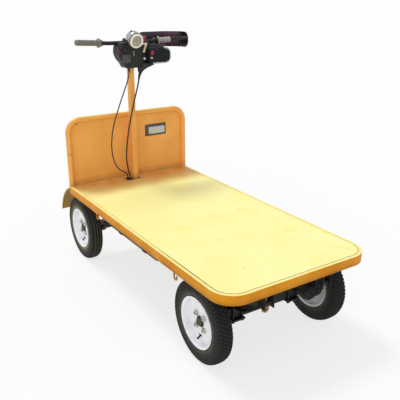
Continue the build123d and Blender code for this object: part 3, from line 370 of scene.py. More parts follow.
# Cast aluminium housings
CAST_ALUMINIUM = finish("cast_aluminium", "8C8C8A", "6A665E", 35, 0.35, 1.2, 0.08, 0.5, Metallic=1.0)
# Black cable sheath
CABLE_SHEATH = finish("pvc_cable_sheath", "171717", "272521", 40, 0.3, 1.0, 0.02, 0.5)
print(len(bpy.data.materials), "materials")

# %% [markdown]
# The guard's glossy plastic carries a painted sheen: its inner end is blue-black and its outer end wine
# red. The painted sheen follows the place across the cart, so it is the same from every side.

# %% Guard tone, a painted sheen
tree = GUARD_PLASTIC.node_tree
place = add(tree, "ShaderNodeTexCoord").outputs["Object"]
across = add(tree, "ShaderNodeSeparateXYZ", links={0: place}).outputs["Y"]
guard_low, guard_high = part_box("hand_guard")
span = {"From Min": guard_low[1], "From Max": guard_high[1]}
share = add(tree, "ShaderNodeMapRange", span, {"Value": across}).outputs["Result"]
tones = add(tree, "ShaderNodeValToRGB", links={"Fac": share})
GUARD_SHEEN_TONES = [(0.0, "1C1419"), (0.22, "461E35"), (0.42, "3A2036"), (0.68, "26222E"), (1.0, "2B2C46")]
while len(tones.color_ramp.elements) < len(GUARD_SHEEN_TONES):
    tones.color_ramp.elements.new(0.5)
for element, (position, tone) in zip(tones.color_ramp.elements, GUARD_SHEEN_TONES):
    element.position = position
    element.color = linear(tone)
tree.links.new(tones.outputs["Color"], tree.nodes["Principled BSDF"].inputs["Base Color"])

# %% Paint the solids
NODE_FINISH = {
    BOARD_PAINT: "headboard_frame headboard_panel steering_post",
    RAIL_PAINT: "side_rails rail_rear rail_front rope_hooks",
    DECK_PAINT: "deck_sheet",
    DUSTY_PAINT: "front_fenders tow_lug",
    CHASSIS_BLACK: "subrails cross_members front_axle_beam front_axle_stands rear_axle_beam "
    "rear_brake_plates leaf_springs spring_hangers axle_clamps battery_box handlebar_tube "
    "knuckle_left knuckle_right handlebar_clamp",
    BARE_STEEL: "steering_shaft tie_rod",
    GREASED_HUB: "front_left_hub front_right_hub rear_left_hub rear_right_hub",
    SOFT_RUBBER: "cable_grommet lamp_gasket",
    RIM_PAINT: "front_left_rim front_right_rim rear_left_rim rear_right_rim",
    BLACK_PLASTIC: "post_bushes head_cover brake_lever_left brake_lever_right",
    BOX_PLASTIC: "control_box",
    GUARD_PLASTIC: "hand_guard",
    RED_PLASTIC: "red_switches",
    CREAM_PAINT: "lamp_stay",
    CAST_ALUMINIUM: "drive_unit controller",
}
for material, names in NODE_FINISH.items():
    for name in names.split():
        nodes[name].data.materials.clear()
        nodes[name].data.materials.append(material)

# %% [markdown]
# The photograph was taken from behind and to the left, a little above the handlebar. The camera stands
# where the deck's and headboard's edges meet their places in the picture, and its lens gives the same
# spread as the picture.

# %% Camera
CAMERA_PLACE = np.array([-2655.5, 1661.3, 1699.9]) * MM
CAMERA_LOOK = np.array([0.786, -0.513, -0.344])
LENS_MM = 50.62
SENSOR_MM = 36.0
camera_data = bpy.data.cameras.new("camera")
camera_data.lens = LENS_MM
camera_data.sensor_width = SENSOR_MM
camera = new_object("camera", camera_data)
camera.location = CAMERA_PLACE
camera.rotation_euler = Vector(CAMERA_LOOK).to_track_quat("-Z", "Y").to_euler()
scene.camera = camera
print("camera at", CAMERA_PLACE)

# %% [markdown]
# Most small pieces sit on a solid's face, so their places are measured from the solids' boxes: the
# post's middle, the deck's top, the bar's height and the axles.

# %% Places on the cart, in metres
middle = lambda node: (np.array(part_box(node)[0]) + np.array(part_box(node)[1])) / 2
POST_X = middle("steering_post")[0]
DECK_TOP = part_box("deck_sheet")[1][2]
BAR_X = POST_X + 20 * MM
BAR_Z = middle("handlebar_clamp")[2]
REAR_X = middle("rear_left_tyre")[0]
AXLE_Z = middle("rear_left_tyre")[2]
COVER_BACK = POST_X - 50 * MM
BOX_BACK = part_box("control_box")[0][0]
FLIP_SIDE = np.array([1, -1, 1])
print("post at", POST_X, "bar at", BAR_Z)

# %% [markdown]
# Two black cables hang free from the steering head to a grommet in the deck: a thin brake cable that
# bows out to the left, and a thicker loom that crosses behind the post. Each follows one smooth
# spline along the route of its solid.

# %% Hanging cables
# Solid, diameter and route, which is how far behind the post, Y and Z in millimetres
CABLES = [
    ("brake_cable", 8 * MM, [
        (41, 30, 1252), (41, 30, 1214), (41, 45, 1166), (41, 83, 1082), (42, 122, 990), (42, 158, 897),
        (41, 178, 804), (40, 180, 709), (37, 160, 627), (29, 122, 579), (18, 83, 559), (10, 58, 535),
        (10, 58, 500),
    ]),
    ("control_loom", 10 * MM, [
        (42, -42, 1226), (42, -42, 1194), (42, -31, 1143), (42, -4, 1057), (42, 24, 961), (42, 48, 864),
        (42, 67, 766), (42, 78, 672), (42, 71, 597), (34, 60, 556), (20, 47, 530), (20, 47, 500),
    ]),
]


def spline_points(name, route):
    """Points along a NURBS line of order 3 whose control points are the route's."""
    curve = bpy.data.curves.new(name, "CURVE")
    curve.dimensions = "3D"
    line = curve.splines.new("NURBS")
    line.points.add(len(route) - 1)
    line.points.foreach_set("co", np.c_[route, np.ones(len(route))].ravel())
    line.order_u = 3
    line.use_endpoint_u = True
    line.resolution_u = 12
    holder = bpy.data.objects.new(name, curve)
    mesh = bpy.data.meshes.new_from_object(holder)
    places = np.empty(len(mesh.vertices) * 3)
    mesh.vertices.foreach_get("co", places)
    bpy.data.objects.remove(holder)
    bpy.data.curves.remove(curve)
    bpy.data.meshes.remove(mesh)
    return places.reshape(-1, 3)


for node, diameter, route in CABLES:
    name = f"{node}_sheath"
    back, across, up = np.array(route, float).T * MM
    path = spline_points(name, np.c_[POST_X - back, across, up])
    piece = surface(name, [tube(path, diameter / 2, 20)], None, CABLE_SHEATH)
    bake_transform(piece)
    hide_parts(node)

# %% [markdown]
# Where the brake cable leaves the cover it has a tapered rubber boot, so that it doesn't chafe.

# %% Brake cable boot
BOOT_LINE = [(0, 4.2), (0, 9), (3, 9), (4, 7.6), (26, 5.4), (28, 4.6), (28, 4.1)]
back, across, up = np.array(CABLES[0][2][0]) * MM
boot_grid = turned(BOOT_LINE, (POST_X - back, across, up), (0, 0, -1), 32)
surface("brake_cable_boot", [boot_grid], "steering", SOFT_RUBBER)

# %% [markdown]
# The loom leaves the control box through a wide rubber trumpet that hangs below it. Its rings are ovals
# whose middle slides toward the cable while they shrink, first quickly and then slowly.

# %% Loom trumpet
# One row per ring: how far behind the post, Y, Z, half width along X and half width along Y
TRUMPET = np.array([
    (42, -112, 1277, 30, 56), (42, -106, 1266, 28, 50), (42, -92, 1256, 24, 38), (42, -76, 1247, 19, 27),
    (42, -62, 1236, 15, 19), (42, -52, 1222, 11.5, 13), (42, -46, 1207, 9, 9.5), (41, -41, 1190, 7.4, 7.4),
    (41, -38, 1176, 6.2, 6.2),
]) * MM
fine_rows = np.linspace(0, len(TRUMPET) - 1, 41)
trumpet = np.stack([np.interp(fine_rows, np.arange(len(TRUMPET)), column) for column in TRUMPET.T], axis=1)
t = round_angles(48)
ovals = np.stack([
    POST_X - trumpet[:, :1] + trumpet[:, 3:4] * np.cos(t),
    trumpet[:, 1:2] + trumpet[:, 4:5] * np.sin(t),
    np.repeat(trumpet[:, 2:3], len(t), axis=1),
], axis=-1)
surface("loom_trumpet", [ovals], "steering", SOFT_RUBBER)

# %% [markdown]
# A tyre is a ring whose section closes on itself: beads on the rim, bulging walls, and a flat crown.
# The back tyres have rows of square blocks, each row set half a block from the next, and the front ones
# have ribs, as light carts do. The tread is cut into the radius by a formula of the angle and the place
# across.

# %% Tyre tread
BEAD_RADIUS = 127.5 * MM
SECTION = np.array(  # (across, radius) of the outer half, in millimetres, from the crown's middle to the bead
    [(0, 215), (9, 214.8), (18, 213.8), (25, 212.2), (30, 209.5), (34, 205), (36.5, 199), (38.5, 190),
     (40, 178), (40.6, 166), (39.8, 154), (37.5, 143), (35, 137), (32.5, 132), (31.5, 127.6)]
)
TREAD_EDGE = 199 * MM  # radius where the tread ends and the wall begins
RIM_EDGE = 130 * MM  # radius below which the rim covers the wall
ROW_WIDTH, BLOCKS_ROUND, BLOCK_DEPTH = 15.5 * MM, 64, 6.5 * MM
RIB_PITCH, RIB_DEPTH, RIB_SWAY, RIB_WAVES, NICKS_ROUND = 19 * MM, 5 * MM, 0.8 * MM, 60, 70
WALL_RINGS, RING_HEIGHT, RING_WIDTH = (148 * MM, 187 * MM), 0.9 * MM, 1.6 * MM
DUST_DEPTH = 1.5 * MM  # how far dust is rubbed down into the tread
# Edges as (place, soft width), from the middle of a row, block, groove or nick, and of the crown
ROW_GAP, BLOCK_GAP, GROOVE, NICK = (0.37, 0.10), (0.36, 0.12), (3 * MM, 1.6 * MM), (0.12, 0.08)
NICK_START, BLOCK_END, RIB_END = (31 * MM, 1.5 * MM), (36.5 * MM, 2 * MM), (36 * MM, 2 * MM)


def step(value, edge, soft):
    """0 below the edge and 1 above it, over a soft width."""
    return np.clip((value - edge) / soft + 0.5, 0, 1)


def block_tread(angle, across):
    """Depth of a brick pattern: grooves between the rows, and a cut between blocks along each row."""
    row = np.floor(across / ROW_WIDTH + 0.5)
    in_row = np.abs(across / ROW_WIDTH - row)
    in_block = np.abs((angle * BLOCKS_ROUND / (2 * math.pi) + 0.5 * (row % 2)) % 1 - 0.5)
    gaps = np.clip(step(in_row, *ROW_GAP) + step(in_block, *BLOCK_GAP), 0, 1)
    return gaps * BLOCK_DEPTH * (1 - step(np.abs(across), *BLOCK_END))


def rib_tread(angle, across):
    """Depth of four grooves round the tyre, whose edges wave a little with the angle, and of nicks
    at the shoulder."""
    sway = RIB_SWAY * np.sin(angle * RIB_WAVES)
    from_groove = np.abs((np.abs(across + sway) % RIB_PITCH) - RIB_PITCH / 2)
    grooves = 1 - step(from_groove, *GROOVE)
    in_nick = np.abs((angle * NICKS_ROUND / (2 * math.pi)) % 1 - 0.5)
    nicks = (1 - step(in_nick, *NICK)) * step(np.abs(across), *NICK_START)
    return np.clip(grooves + nicks, 0, 1) * RIB_DEPTH * (1 - step(np.abs(across), *RIB_END))


# Radii from the rim to the crown, in metres, and how much dust lies there
WALL_DUST = ([0.130, 0.146, 0.158, 0.175, 0.205, 0.215], [0.85, 0.55, 0.2, 0.05, 0.04, 0.12])


def section_line(count):
    """The tyre's whole section from one bead over the crown to the other, evenly spaced by length."""
    whole = np.concatenate([SECTION[::-1] * (-1, 1), SECTION[1:]])
    return at_lengths(whole, np.linspace(0, run_length(whole)[-1], count)) * MM


def tyre_grid(centre, tread, count=576):
    """centre + (radius - tread depth) * (cos a, 0, sin a) + across * Y, with moulded rings on the walls,
    and the dust at each point: thick by the rim, thin on the wall, and rubbed onto the tread but not
    its grooves."""
    line = section_line(112)
    bore = np.c_[np.linspace(line[-1, 0], line[0, 0], 5)[1:-1], np.full(3, BEAD_RADIUS)]
    across, radius = np.concatenate([line, bore]).T
    angle = round_angles(count)[:, None]
    depth = np.where(radius > TREAD_EDGE, tread(angle, across[None, :]), 0.0)
    rings = RING_HEIGHT * sum(np.exp(-(((radius - r) / RING_WIDTH) ** 2)) for r in WALL_RINGS)
    wall = across + np.sign(across) * rings * (radius < TREAD_EDGE) * (radius > RIM_EDGE)
    r = radius[None, :] - depth
    dust = np.interp(radius, *WALL_DUST) * np.exp(-depth / DUST_DEPTH)
    spread = np.stack([r * np.cos(angle), np.broadcast_to(wall, r.shape), r * np.sin(angle)], axis=-1)
    return np.asarray(centre) + spread, dust


TREADS = {"front": (rib_tread, DUSTY_RUBBER), "rear": (block_tread, TYRE_RUBBER)}
SIDES = {"left": 1, "right": -1}
WHEELS = [(f"{end}_{hand}", SIDES[hand], *TREADS[end]) for end in TREADS for hand in SIDES]
for name, side, tread, rubber in WHEELS:
    grid, dust = tyre_grid(middle(f"{name}_tyre"), tread)
    piece = surface(f"{name}_tread", [grid], f"wheel_{name}", rubber, closed=True, dust=dust)
    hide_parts(f"{name}_tyre")

# %% [markdown]
# Bolt heads are six-sided prisms with a bevelled top. One function makes a head from its place, its axis
# and its size, and tables say where they go. The wheel nuts sit on washers, and are hollow in the middle,
# where the stud ends.


# %% Nuts, washers and valves
def hex_head(place, axis, radius, height):
    """A bolt head: a six-cornered profile, up its flats, over its bevel and across its top."""
    line = [(0, radius), (0.75 * height, radius), (height, 0.86 * radius)]
    return turned(line, place, axis, 6)


NUT_LINE = [(0, 12.9), (9.5, 12.9), (11.8, 11.2), (11.8, 6.9), (8.5, 6.5)]
WASHER_LINE = [(0, 16.5), (0.98, 16.5), (1.4, 16)]
VALVE_LINE = [(0, 4.2), (20, 3.8), (20.5, 4.6), (34, 4.6), (35, 3.6)]
STUD_CIRCLE = 47 * MM
STUD_TURNS = np.radians([45, 135, 225, 315])
DISC_FACE = 12 * MM  # out from the wheel's middle
VALVE_ROOT, VALVE_AXIS = np.array([0, 4, -70.5]) * MM, np.array([0, 1, -0.9])
for name, side, *_ in WHEELS:
    centre = middle(f"{name}_tyre")
    outside = np.array([0, side, 0])
    spread = np.c_[np.cos(STUD_TURNS), 0 * STUD_TURNS, np.sin(STUD_TURNS)]
    studs = centre + outside * DISC_FACE + STUD_CIRCLE * spread
    nuts = [turned(NUT_LINE, stud, outside, 6) for stud in studs]
    pads = [turned(WASHER_LINE, stud, outside, 28) for stud in studs]
    surface(f"{name}_nuts", nuts, f"wheel_{name}", ZINC_PLATE, smooth=False)
    surface(f"{name}_washers", pads, f"wheel_{name}", ZINC_PLATE)
    mirror = np.array([1, side, 1])
    valve = turned(VALVE_LINE, centre + VALVE_ROOT * mirror, VALVE_AXIS * mirror, 24)
    surface(f"{name}_valve", [valve], f"wheel_{name}", SOFT_RUBBER)

# %% Bolts on the chassis and the linkage
DECK_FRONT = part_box("rail_front")[1][0]
PIN_X = POST_X - 105 * MM
SPRING_EYES = [REAR_X - 250 * MM, REAR_X + 250 * MM]
EYE_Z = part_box("spring_hangers")[0][2] + 18 * MM
BRAKE_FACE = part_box("rear_brake_plates")[1][1] - 8 * MM
SPRING_INNER, SPRING_OUTER = 152 * MM, 208 * MM
U_BOLTS = [(REAR_X + x * MM, y) for x in (-38, 38) for y in (SPRING_INNER, SPRING_OUTER)]
KINGPIN_Y, KINGPIN_ENDS = 300 * MM, [(252.3 * MM, 1), (172.7 * MM, -1)]
PIN_FOOT = 216 * MM
BRAKE_TURNS, BRAKE_CIRCLE = (2.6, 3.7, 4.7, 5.8), 66 * MM
on_plate = lambda t: (REAR_X + BRAKE_CIRCLE * math.cos(t), BRAKE_FACE, AXLE_Z + BRAKE_CIRCLE * math.sin(t))
STRAPS = (POST_X - 440 * MM, POST_X - 750 * MM)
# Name, finish, axis, radius, height and places on the left side, which the right side mirrors
BOLTS = [
    ("fender_bolts", ZINC_PLATE, (1, 0, 0), 8, 5,
     [(DECK_FRONT + 2 * MM, y * MM, 463 * MM) for y in (352, 412)]),
    ("spring_pin_nuts", CHASSIS_BLACK, (0, 1, 0), 10, 7, [(x, SPRING_OUTER, EYE_Z) for x in SPRING_EYES]),
    ("spring_pin_heads", CHASSIS_BLACK, (0, -1, 0), 10, 7, [(x, SPRING_INNER, EYE_Z) for x in SPRING_EYES]),
    ("u_bolt_nuts", CHASSIS_BLACK, (0, 0, -1), 9.5, 8, [(x, y, 175 * MM) for x, y in U_BOLTS]),
    ("u_bolt_caps", CHASSIS_BLACK, (0, 0, 1), 9.5, 7, [(x, y, 279 * MM) for x, y in U_BOLTS]),
    ("brake_plate_bolts", CHASSIS_BLACK, (0, -1, 0), 7, 5, [on_plate(t) for t in BRAKE_TURNS]),
    ("strap_bolts", ZINC_PLATE, (0, 0, -1), 8, 5, [(x, 230 * MM, 309 * MM) for x in STRAPS]),
]
for name, metal, axis, radius, height, places in BOLTS:
    heads = []
    for place in places:
        for mirror in (np.ones(3), FLIP_SIDE):
            heads.append(hex_head(np.array(place) * mirror, np.array(axis) * mirror, radius, height))
    surface(name, heads, "chassis", metal, smooth=False)
pin_nut = lambda y: hex_head((PIN_X, y, PIN_FOOT), (0, 0, -1), 10, 6.5)
for body, y in (("knuckle_left", KINGPIN_Y), ("knuckle_right", -KINGPIN_Y)):
    ends = [hex_head((POST_X, y, z), (0, 0, up), 15, 7.5) for z, up in KINGPIN_ENDS]
    surface(f"{body}_nuts", [*ends, pin_nut(y)], body, ZINC_PLATE, smooth=False)
surface("pitman_nut", [pin_nut(0)], "steering", ZINC_PLATE, smooth=False)

# %% [markdown]
# Where steel is welded to steel a bead runs along the joint. A bead looks like a row of coins laid on
# their edge, so it is a thin tube whose radius swells and shrinks every few millimetres.


# %% Weld beads
def bead(corners, radius, pitch=4.5):
    """A tube along straight runs, sampled each millimetre, of radius * (1 + 0.16 * cos(2 pi * length /
    pitch))."""
    corners = np.asarray(corners, float)
    length = run_length(corners)[-1]
    along = np.linspace(0, length, max(int(length / MM), 8))
    swell = 1 + 0.16 * np.cos(2 * math.pi * along / (pitch * MM))
    return tube(at_lengths(corners, along), radius * MM * swell, 10)


def ring_of(centre, radius, count=40):
    """Corners of a level circle, closed on its first point."""
    t = np.linspace(0, 2 * math.pi, count + 1)
    return np.asarray(centre) + radius * np.c_[np.cos(t), np.sin(t), 0 * t]


HOOP_X, HOOP_Y = middle("headboard_frame")[0], 433 * MM
RAIL_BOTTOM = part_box("side_rails")[0][2]
HOOK_Y, HOOK_STATIONS = 431 * MM, [DECK_FRONT - 412 * MM, DECK_FRONT - 1347 * MM]
STAND_Z, STAND_HALF, STAND_SIDES = 235 * MM, 21 * MM, (160 * MM, 200 * MM)
HANGER_Y, HANGER_Z, HANGER_HALF = 201 * MM, 450.5 * MM, 23 * MM
LUG_BACK, LUG_HALF, LUG_SPAN = REAR_X - 31 * MM, 22.5 * MM, (188 * MM, 244 * MM)
painted, blackened = [], []
for side in SIDES.values():
    painted.append(bead(ring_of((HOOP_X, side * HOOP_Y, DECK_TOP + 1 * MM), 17.3 * MM), 2.4))
    roots = [(x, side * HOOK_Y, RAIL_BOTTOM - 0.5 * MM) for x in HOOK_STATIONS]
    painted += [bead(ring_of(root, 4.4 * MM, 16), 1.6) for root in roots]
    stands = [[(POST_X + end * STAND_HALF, side * y, STAND_Z) for end in (-1, 1)] for y in STAND_SIDES]
    blackened += [bead(line, 3.2) for line in stands]
    hangers = [[(x + end * HANGER_HALF, side * HANGER_Y, HANGER_Z) for end in (-1, 1)] for x in SPRING_EYES]
    lug = [(LUG_BACK, side * LUG_HALF, z) for z in LUG_SPAN]
    blackened += [bead(line, 2.8) for line in (*hangers, lug)]
surface("painted_welds", painted, "chassis", RAIL_PAINT)
surface("chassis_welds", blackened, "chassis", CHASSIS_BLACK)

# %% [markdown]
# The deck sheet lies flush between the rails' flanges, and dirt and old sealer fill the seam between them.
# It shows as a dark hairline, wider along the back and widest before the left rear corner. The line runs
# straight along three sides and round the two back corners, and its section is a low oval.

# %% Deck seam
SEAM_INSET, SEAM_STEP, SEAM_FLATNESS = 19 * MM, 4 * MM, 0.3
RAIL_CORNER = 120 * MM
BACK_AT, BACK_REACH = 2.0, 0.75  # metres along the line from its left front end
THICK_AT, THICK_REACH = 1.35, 0.28
HAIRLINE, BACK_WIDER, THICK_WIDER, UNEVEN = 0.45, 1.2, 1.4, 0.3  # half widths in millimetres
DECK_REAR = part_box("rail_rear")[0][0]
seam_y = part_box("side_rails")[1][1] - SEAM_INSET
bend = RAIL_CORNER - SEAM_INSET
t = np.linspace(0, math.pi / 2, 30)
left_corner = np.c_[DECK_REAR + RAIL_CORNER - bend * np.sin(t), seam_y - bend + bend * np.cos(t)]
seam_front = DECK_FRONT - 60 * MM
left_half = np.concatenate([[(seam_front, seam_y)], left_corner])
outline = np.concatenate([left_half, left_half[::-1] * (1, -1)])
along = np.arange(0, run_length(outline)[-1], SEAM_STEP)
thick = np.exp(-(((along - THICK_AT) / THICK_REACH) ** 2))
rear = np.exp(-(((along - BACK_AT) / BACK_REACH) ** 4))
uneven = UNEVEN * np.sin(along / 0.014) * np.sin(along / 0.0053)
seam_radius = HAIRLINE + BACK_WIDER * rear + THICK_WIDER * thick + uneven
seam_path = np.c_[at_lengths(outline, along), np.full(len(along), DECK_TOP)]
seam = tube(seam_path, seam_radius * MM, 10)
seam[..., 2] = DECK_TOP + SEAM_FLATNESS * (seam[..., 2] - DECK_TOP)
surface("deck_seam", [seam], "chassis", SEAM_DIRT)

# %% [markdown]
# The hoop of the headboard is joined at half its height on the left side, where two thin dark rings show,
# and a rubber plug closes a drain hole near its upper corner.

# %% Hoop joint and plug
JOINT_RINGS = [(722, 0.9), (712, 0.7)]  # height and half width in millimetres
PLUG_Y, PLUG_Z = 372 * MM, 908 * MM
joints = [bead(ring_of((HOOP_X, HOOP_Y, z * MM), 17.1 * MM), size, 60) for z, size in JOINT_RINGS]
surface("hoop_joint", joints, "chassis", GREASED_HUB)
plug = turned([(-2, 5), (1.5, 5), (3, 3.6)], (BOARD_FACE, PLUG_Y, PLUG_Z), (-1, 0, 0), 24)
surface("hoop_plug", [plug], "chassis", SOFT_RUBBER)

# %% [markdown]
# The work lamp is a chromed drum with a domed back and a tilt knob, behind a thick cream ring. Its glass
# is pressed into small pillows that spread the light, so the lens is a shallow dome with a wave in both
# directions on it.

# %% Lamp drum and lens
LAMP_TILT = math.radians(15)
LAMP_CENTRE = np.array([POST_X - 100 * MM, 0, BAR_Z + 18 * MM])
LAMP_AXIS = np.array([-math.cos(LAMP_TILT), 0, -math.sin(LAMP_TILT)])
LAMP_UP = np.array([-math.sin(LAMP_TILT), 0, math.cos(LAMP_TILT)])
LEFTWARD = np.array([0, 1.0, 0])
BACKWARD = np.array([-1.0, 0, 0])
DRUM_RADIUS, DRUM_DEPTH, DOME = 49.0, 76.0, 32.0
# The drum's mouth: place along the lamp, and what is added to the radius there
DRUM_MOUTH = [(-30, 0), (-24, 0), (-22, 1), (-20, 0), (-10.5, 0), (-8.5, -1), (-8.2, -19)]
KNOB_TURN, KNOB_BACK = math.radians(20), 44 * MM
turn = np.linspace(0, math.pi / 2, 20)
dome_line = np.c_[-DRUM_DEPTH + DOME - DOME * np.cos(turn), DRUM_RADIUS - DOME + DOME * np.sin(turn)]
drum_line = np.concatenate([
    [(-DRUM_DEPTH, 0.1), (-DRUM_DEPTH, 8)], dome_line, np.array(DRUM_MOUTH) + (0, DRUM_RADIUS),
])
knob_axis = math.sin(KNOB_TURN) * LEFTWARD + math.cos(KNOB_TURN) * LAMP_UP
knob_line = [(44, 6), (55, 6), (55.5, 7.5), (58, 7.5), (59.2, 6)]
knob = turned(knob_line, LAMP_CENTRE - KNOB_BACK * LAMP_AXIS, knob_axis, 24)
drum = turned(drum_line, LAMP_CENTRE, LAMP_AXIS, 72)
piece = surface("lamp_drum", [drum, knob], "steering", CHROME)
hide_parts("lamp_shell")
GLASS_BACK, GLASS_EDGE, GLASS_DOME = 1 * MM, 8 * MM, 4 * MM  # out along the lamp
PILLOW_WIDTH, PILLOW_HEIGHT, PILLOW_END = 11 * MM, 1.8 * MM, 0.97


def lens_grid(centre, radius, count=72, rings=40):
    """centre + r * (cos t * left + sin t * up), out along the lamp by a dome, 1 - (r/R)^2, and by pillows,
    sin^2 of both."""
    r = np.linspace(1e-4, radius, rings)[:, None]
    t = round_angles(count)[None, :]
    y, z = r * np.cos(t), r * np.sin(t)
    pillow = np.sin(math.pi * y / PILLOW_WIDTH) ** 2 * np.sin(math.pi * z / PILLOW_WIDTH) ** 2
    pillow *= PILLOW_HEIGHT * (r < radius * PILLOW_END)
    out = GLASS_EDGE + GLASS_DOME * (1 - (r / radius) ** 2) + pillow
    flat = centre + y[..., None] * LEFTWARD + z[..., None] * LAMP_UP
    front = flat + out[..., None] * LAMP_AXIS
    back = flat + GLASS_BACK * LAMP_AXIS
    return np.concatenate([front, back[::-1]])


lens = surface("lamp_glass", [lens_grid(LAMP_CENTRE, 31.8 * MM)], "steering", LAMP_GLASS)
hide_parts("lamp_lens")
RING_LINE = [
    (0, 32), (0, 43.5), (2.5, 43.8), (3, 45), (7, 45.4), (10, 44.6), (12.4, 42.4), (13.6, 39.6), (13.9, 37),
    (13.2, 34.8), (11.4, 33.2), (8, 32.3), (4, 32),
]
ring = turned(RING_LINE, LAMP_CENTRE, LAMP_AXIS, 96)
bezel = surface("lamp_bezel", [ring], "steering", LAMP_PLASTIC, closed=True)
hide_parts("lamp_ring")

# %% [markdown]
# Each grip is a rubber sleeve with a flange on its inner end and rings pressed into it: a long one on the
# left and a short throttle sleeve on the right. The radius along the bar is a profile, so the sleeve is
# that profile turned about the bar's own line.

# %% Ribbed grips
BAR_KNEE = np.array([BAR_X, 130 * MM, BAR_Z])
BAR_END = np.array([BAR_X - 60 * MM, 373 * MM, BAR_Z + 18 * MM])
bar_along = (BAR_END - BAR_KNEE) / np.linalg.norm(BAR_END - BAR_KNEE)
on_bar = lambda y: (y * MM - BAR_KNEE[1]) / bar_along[1]
FLANGE_START, FLANGE_END, LEFT_END, RIGHT_END = 208, 216, 377, 292  # millimetres from the cart's middle
SLEEVE_RADIUS, RIB_HEIGHT, GRIP_PITCH = 16.8, 1.2, 7


def grip_line(end):
    """Profile of a grip out to a distance from the cart's middle: flange, ribs of 7 mm pitch, rounded end."""
    flange, start, stop = (on_bar(y) / MM for y in (FLANGE_START, FLANGE_END, end))
    sleeve = np.linspace(start + 1, stop - 6, 200)
    ribs = SLEEVE_RADIUS + RIB_HEIGHT * np.clip(1.8 * np.cos(2 * math.pi * sleeve / GRIP_PITCH), -1, 1)
    head = [(flange, 12.6), (flange, 26.5), (flange + 2, 28), (start - 2, 28), (start, 26.5)]
    tail = [(stop - 4, 17.5), (stop - 1, 15), (stop, 12.6)]
    return np.concatenate([head, np.c_[sleeve, ribs], tail])


left_grip = turned(grip_line(LEFT_END), BAR_KNEE, bar_along, 40)
right_sleeve = turned(grip_line(RIGHT_END), BAR_KNEE, bar_along, 40) * FLIP_SIDE
left_piece = surface("left_grip", [left_grip], "steering", GRIP_RUBBER)
right_piece = surface("throttle_sleeve", [right_sleeve], "steering", SLEEVE_RUBBER)
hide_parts("grips")
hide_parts("grips")

# %% [markdown]
# The levers end in a ball so that a finger can't slip off, and turn on a bolt in their perch. The clamp
# is drawn together by four screws.

# %% Lever balls and head screws
PIVOT_Y, TIP_Y = 201, 345  # millimetres from the cart's middle
PIVOT_AHEAD, TIP_AHEAD = np.array([36 * MM, 0, 0]), np.array([52 * MM, 0, 0])
PIVOT_TOP = np.array([0, 0, 8.5 * MM])
BALL_RADIUS = 9.5
CLAMP_SCREWS = [(POST_X + x * MM, y * MM, BAR_Z + 24 * MM) for x in (-7, 33) for y in (-20, 20)]
lever_pivot = BAR_KNEE + bar_along * on_bar(PIVOT_Y) + PIVOT_AHEAD
lever_tip = BAR_KNEE + bar_along * on_bar(TIP_Y) + TIP_AHEAD
t = np.linspace(0.02, math.pi - 0.02, 22)
ball = turned(BALL_RADIUS * np.c_[-np.cos(t), np.sin(t)], lever_tip, bar_along, 28)
surface("lever_balls", [ball, ball * FLIP_SIDE], "steering", BLACK_PLASTIC)
screws = [hex_head(place, (0, 0, 1), 5.5, 5) for place in CLAMP_SCREWS]
pivot_bolt = hex_head(lever_pivot + PIVOT_TOP, (0, 0, 1), 6.5, 4.5)
screws += [pivot_bolt, pivot_bolt * FLIP_SIDE]
surface("head_screws", screws, "steering", ZINC_PLATE, smooth=False)

# %% [markdown]
# The head cover carries a grey panel, a dark key switch, a small dark red lens and an olive strip, and the
# control box next to it two pale buttons and a pale bead along its lower and right edges, which is a painted
# highlight. Flat ones are rounded plates, whose outline is a superellipse, and the knobs are turned.


# %% Plates and knobs on the head
def rounded_plate(centre, half_y, half_z, face_x, back_x, power, count=72):
    """A flat plate across X: y = half_y * |cos t| ^ (2 / power), z likewise, rimmed from back to face."""
    t = round_angles(count)
    wave = np.c_[np.cos(t), np.sin(t)]
    edge = np.sign(wave) * np.abs(wave) ** (2 / power) * (half_y, half_z)
    rows = [(back_x, 1.0), (face_x + 0.6 * MM, 1.0), (face_x, 0.985)]
    return np.stack(
        [np.c_[np.full(count, x), centre[0] + edge[:, 0] * s, centre[1] + edge[:, 1] * s] for x, s in rows]
    )


PLATE_FACE, PLATE_ROOT = COVER_BACK - 2.2 * MM, COVER_BACK + 1 * MM
# Name, finish, middle and half size along Y and Z in millimetres, and power
PLATES = [
    ("cover_panel", PANEL_PLASTIC, (48, 1312), (28, 25), 7),
    ("cover_lens", DARK_RED, (96, 1356), (9, 15), 5),
    ("cover_strip", OLIVE_PAINT, (-5, 1342), (5, 15), 8),
]
for name, plastic, centre, half, power in PLATES:
    centre, half = np.array([centre, half]) * MM
    grid = rounded_plate(centre, *half, PLATE_FACE, PLATE_ROOT, power)
    surface(name, [grid], "steering", plastic)
# Name, finish, place and profile
KNOBS = [
    ("key_switch", BLACK_PLASTIC, (COVER_BACK, 52 * MM, 1362 * MM),
     [(0, 17), (4, 17), (5.5, 14), (14, 12.5), (16, 10.5)]),
    ("left_button", PALE_PLASTIC_AND_HIGHLIGHT, (COVER_BACK, -80 * MM, 1307 * MM),
     [(0, 8.5), (2, 8.5), (3, 7), (8, 6.8), (9.5, 5)]),
    ("right_button", PALE_PLASTIC_AND_HIGHLIGHT, (BOX_BACK, -112 * MM, 1312 * MM),
     [(0, 7), (2, 7), (3, 5.6), (7, 5.4), (8, 4)]),
]
for name, plastic, place, line in KNOBS:
    surface(name, [turned(line, place, BACKWARD, 36)], "steering", plastic)
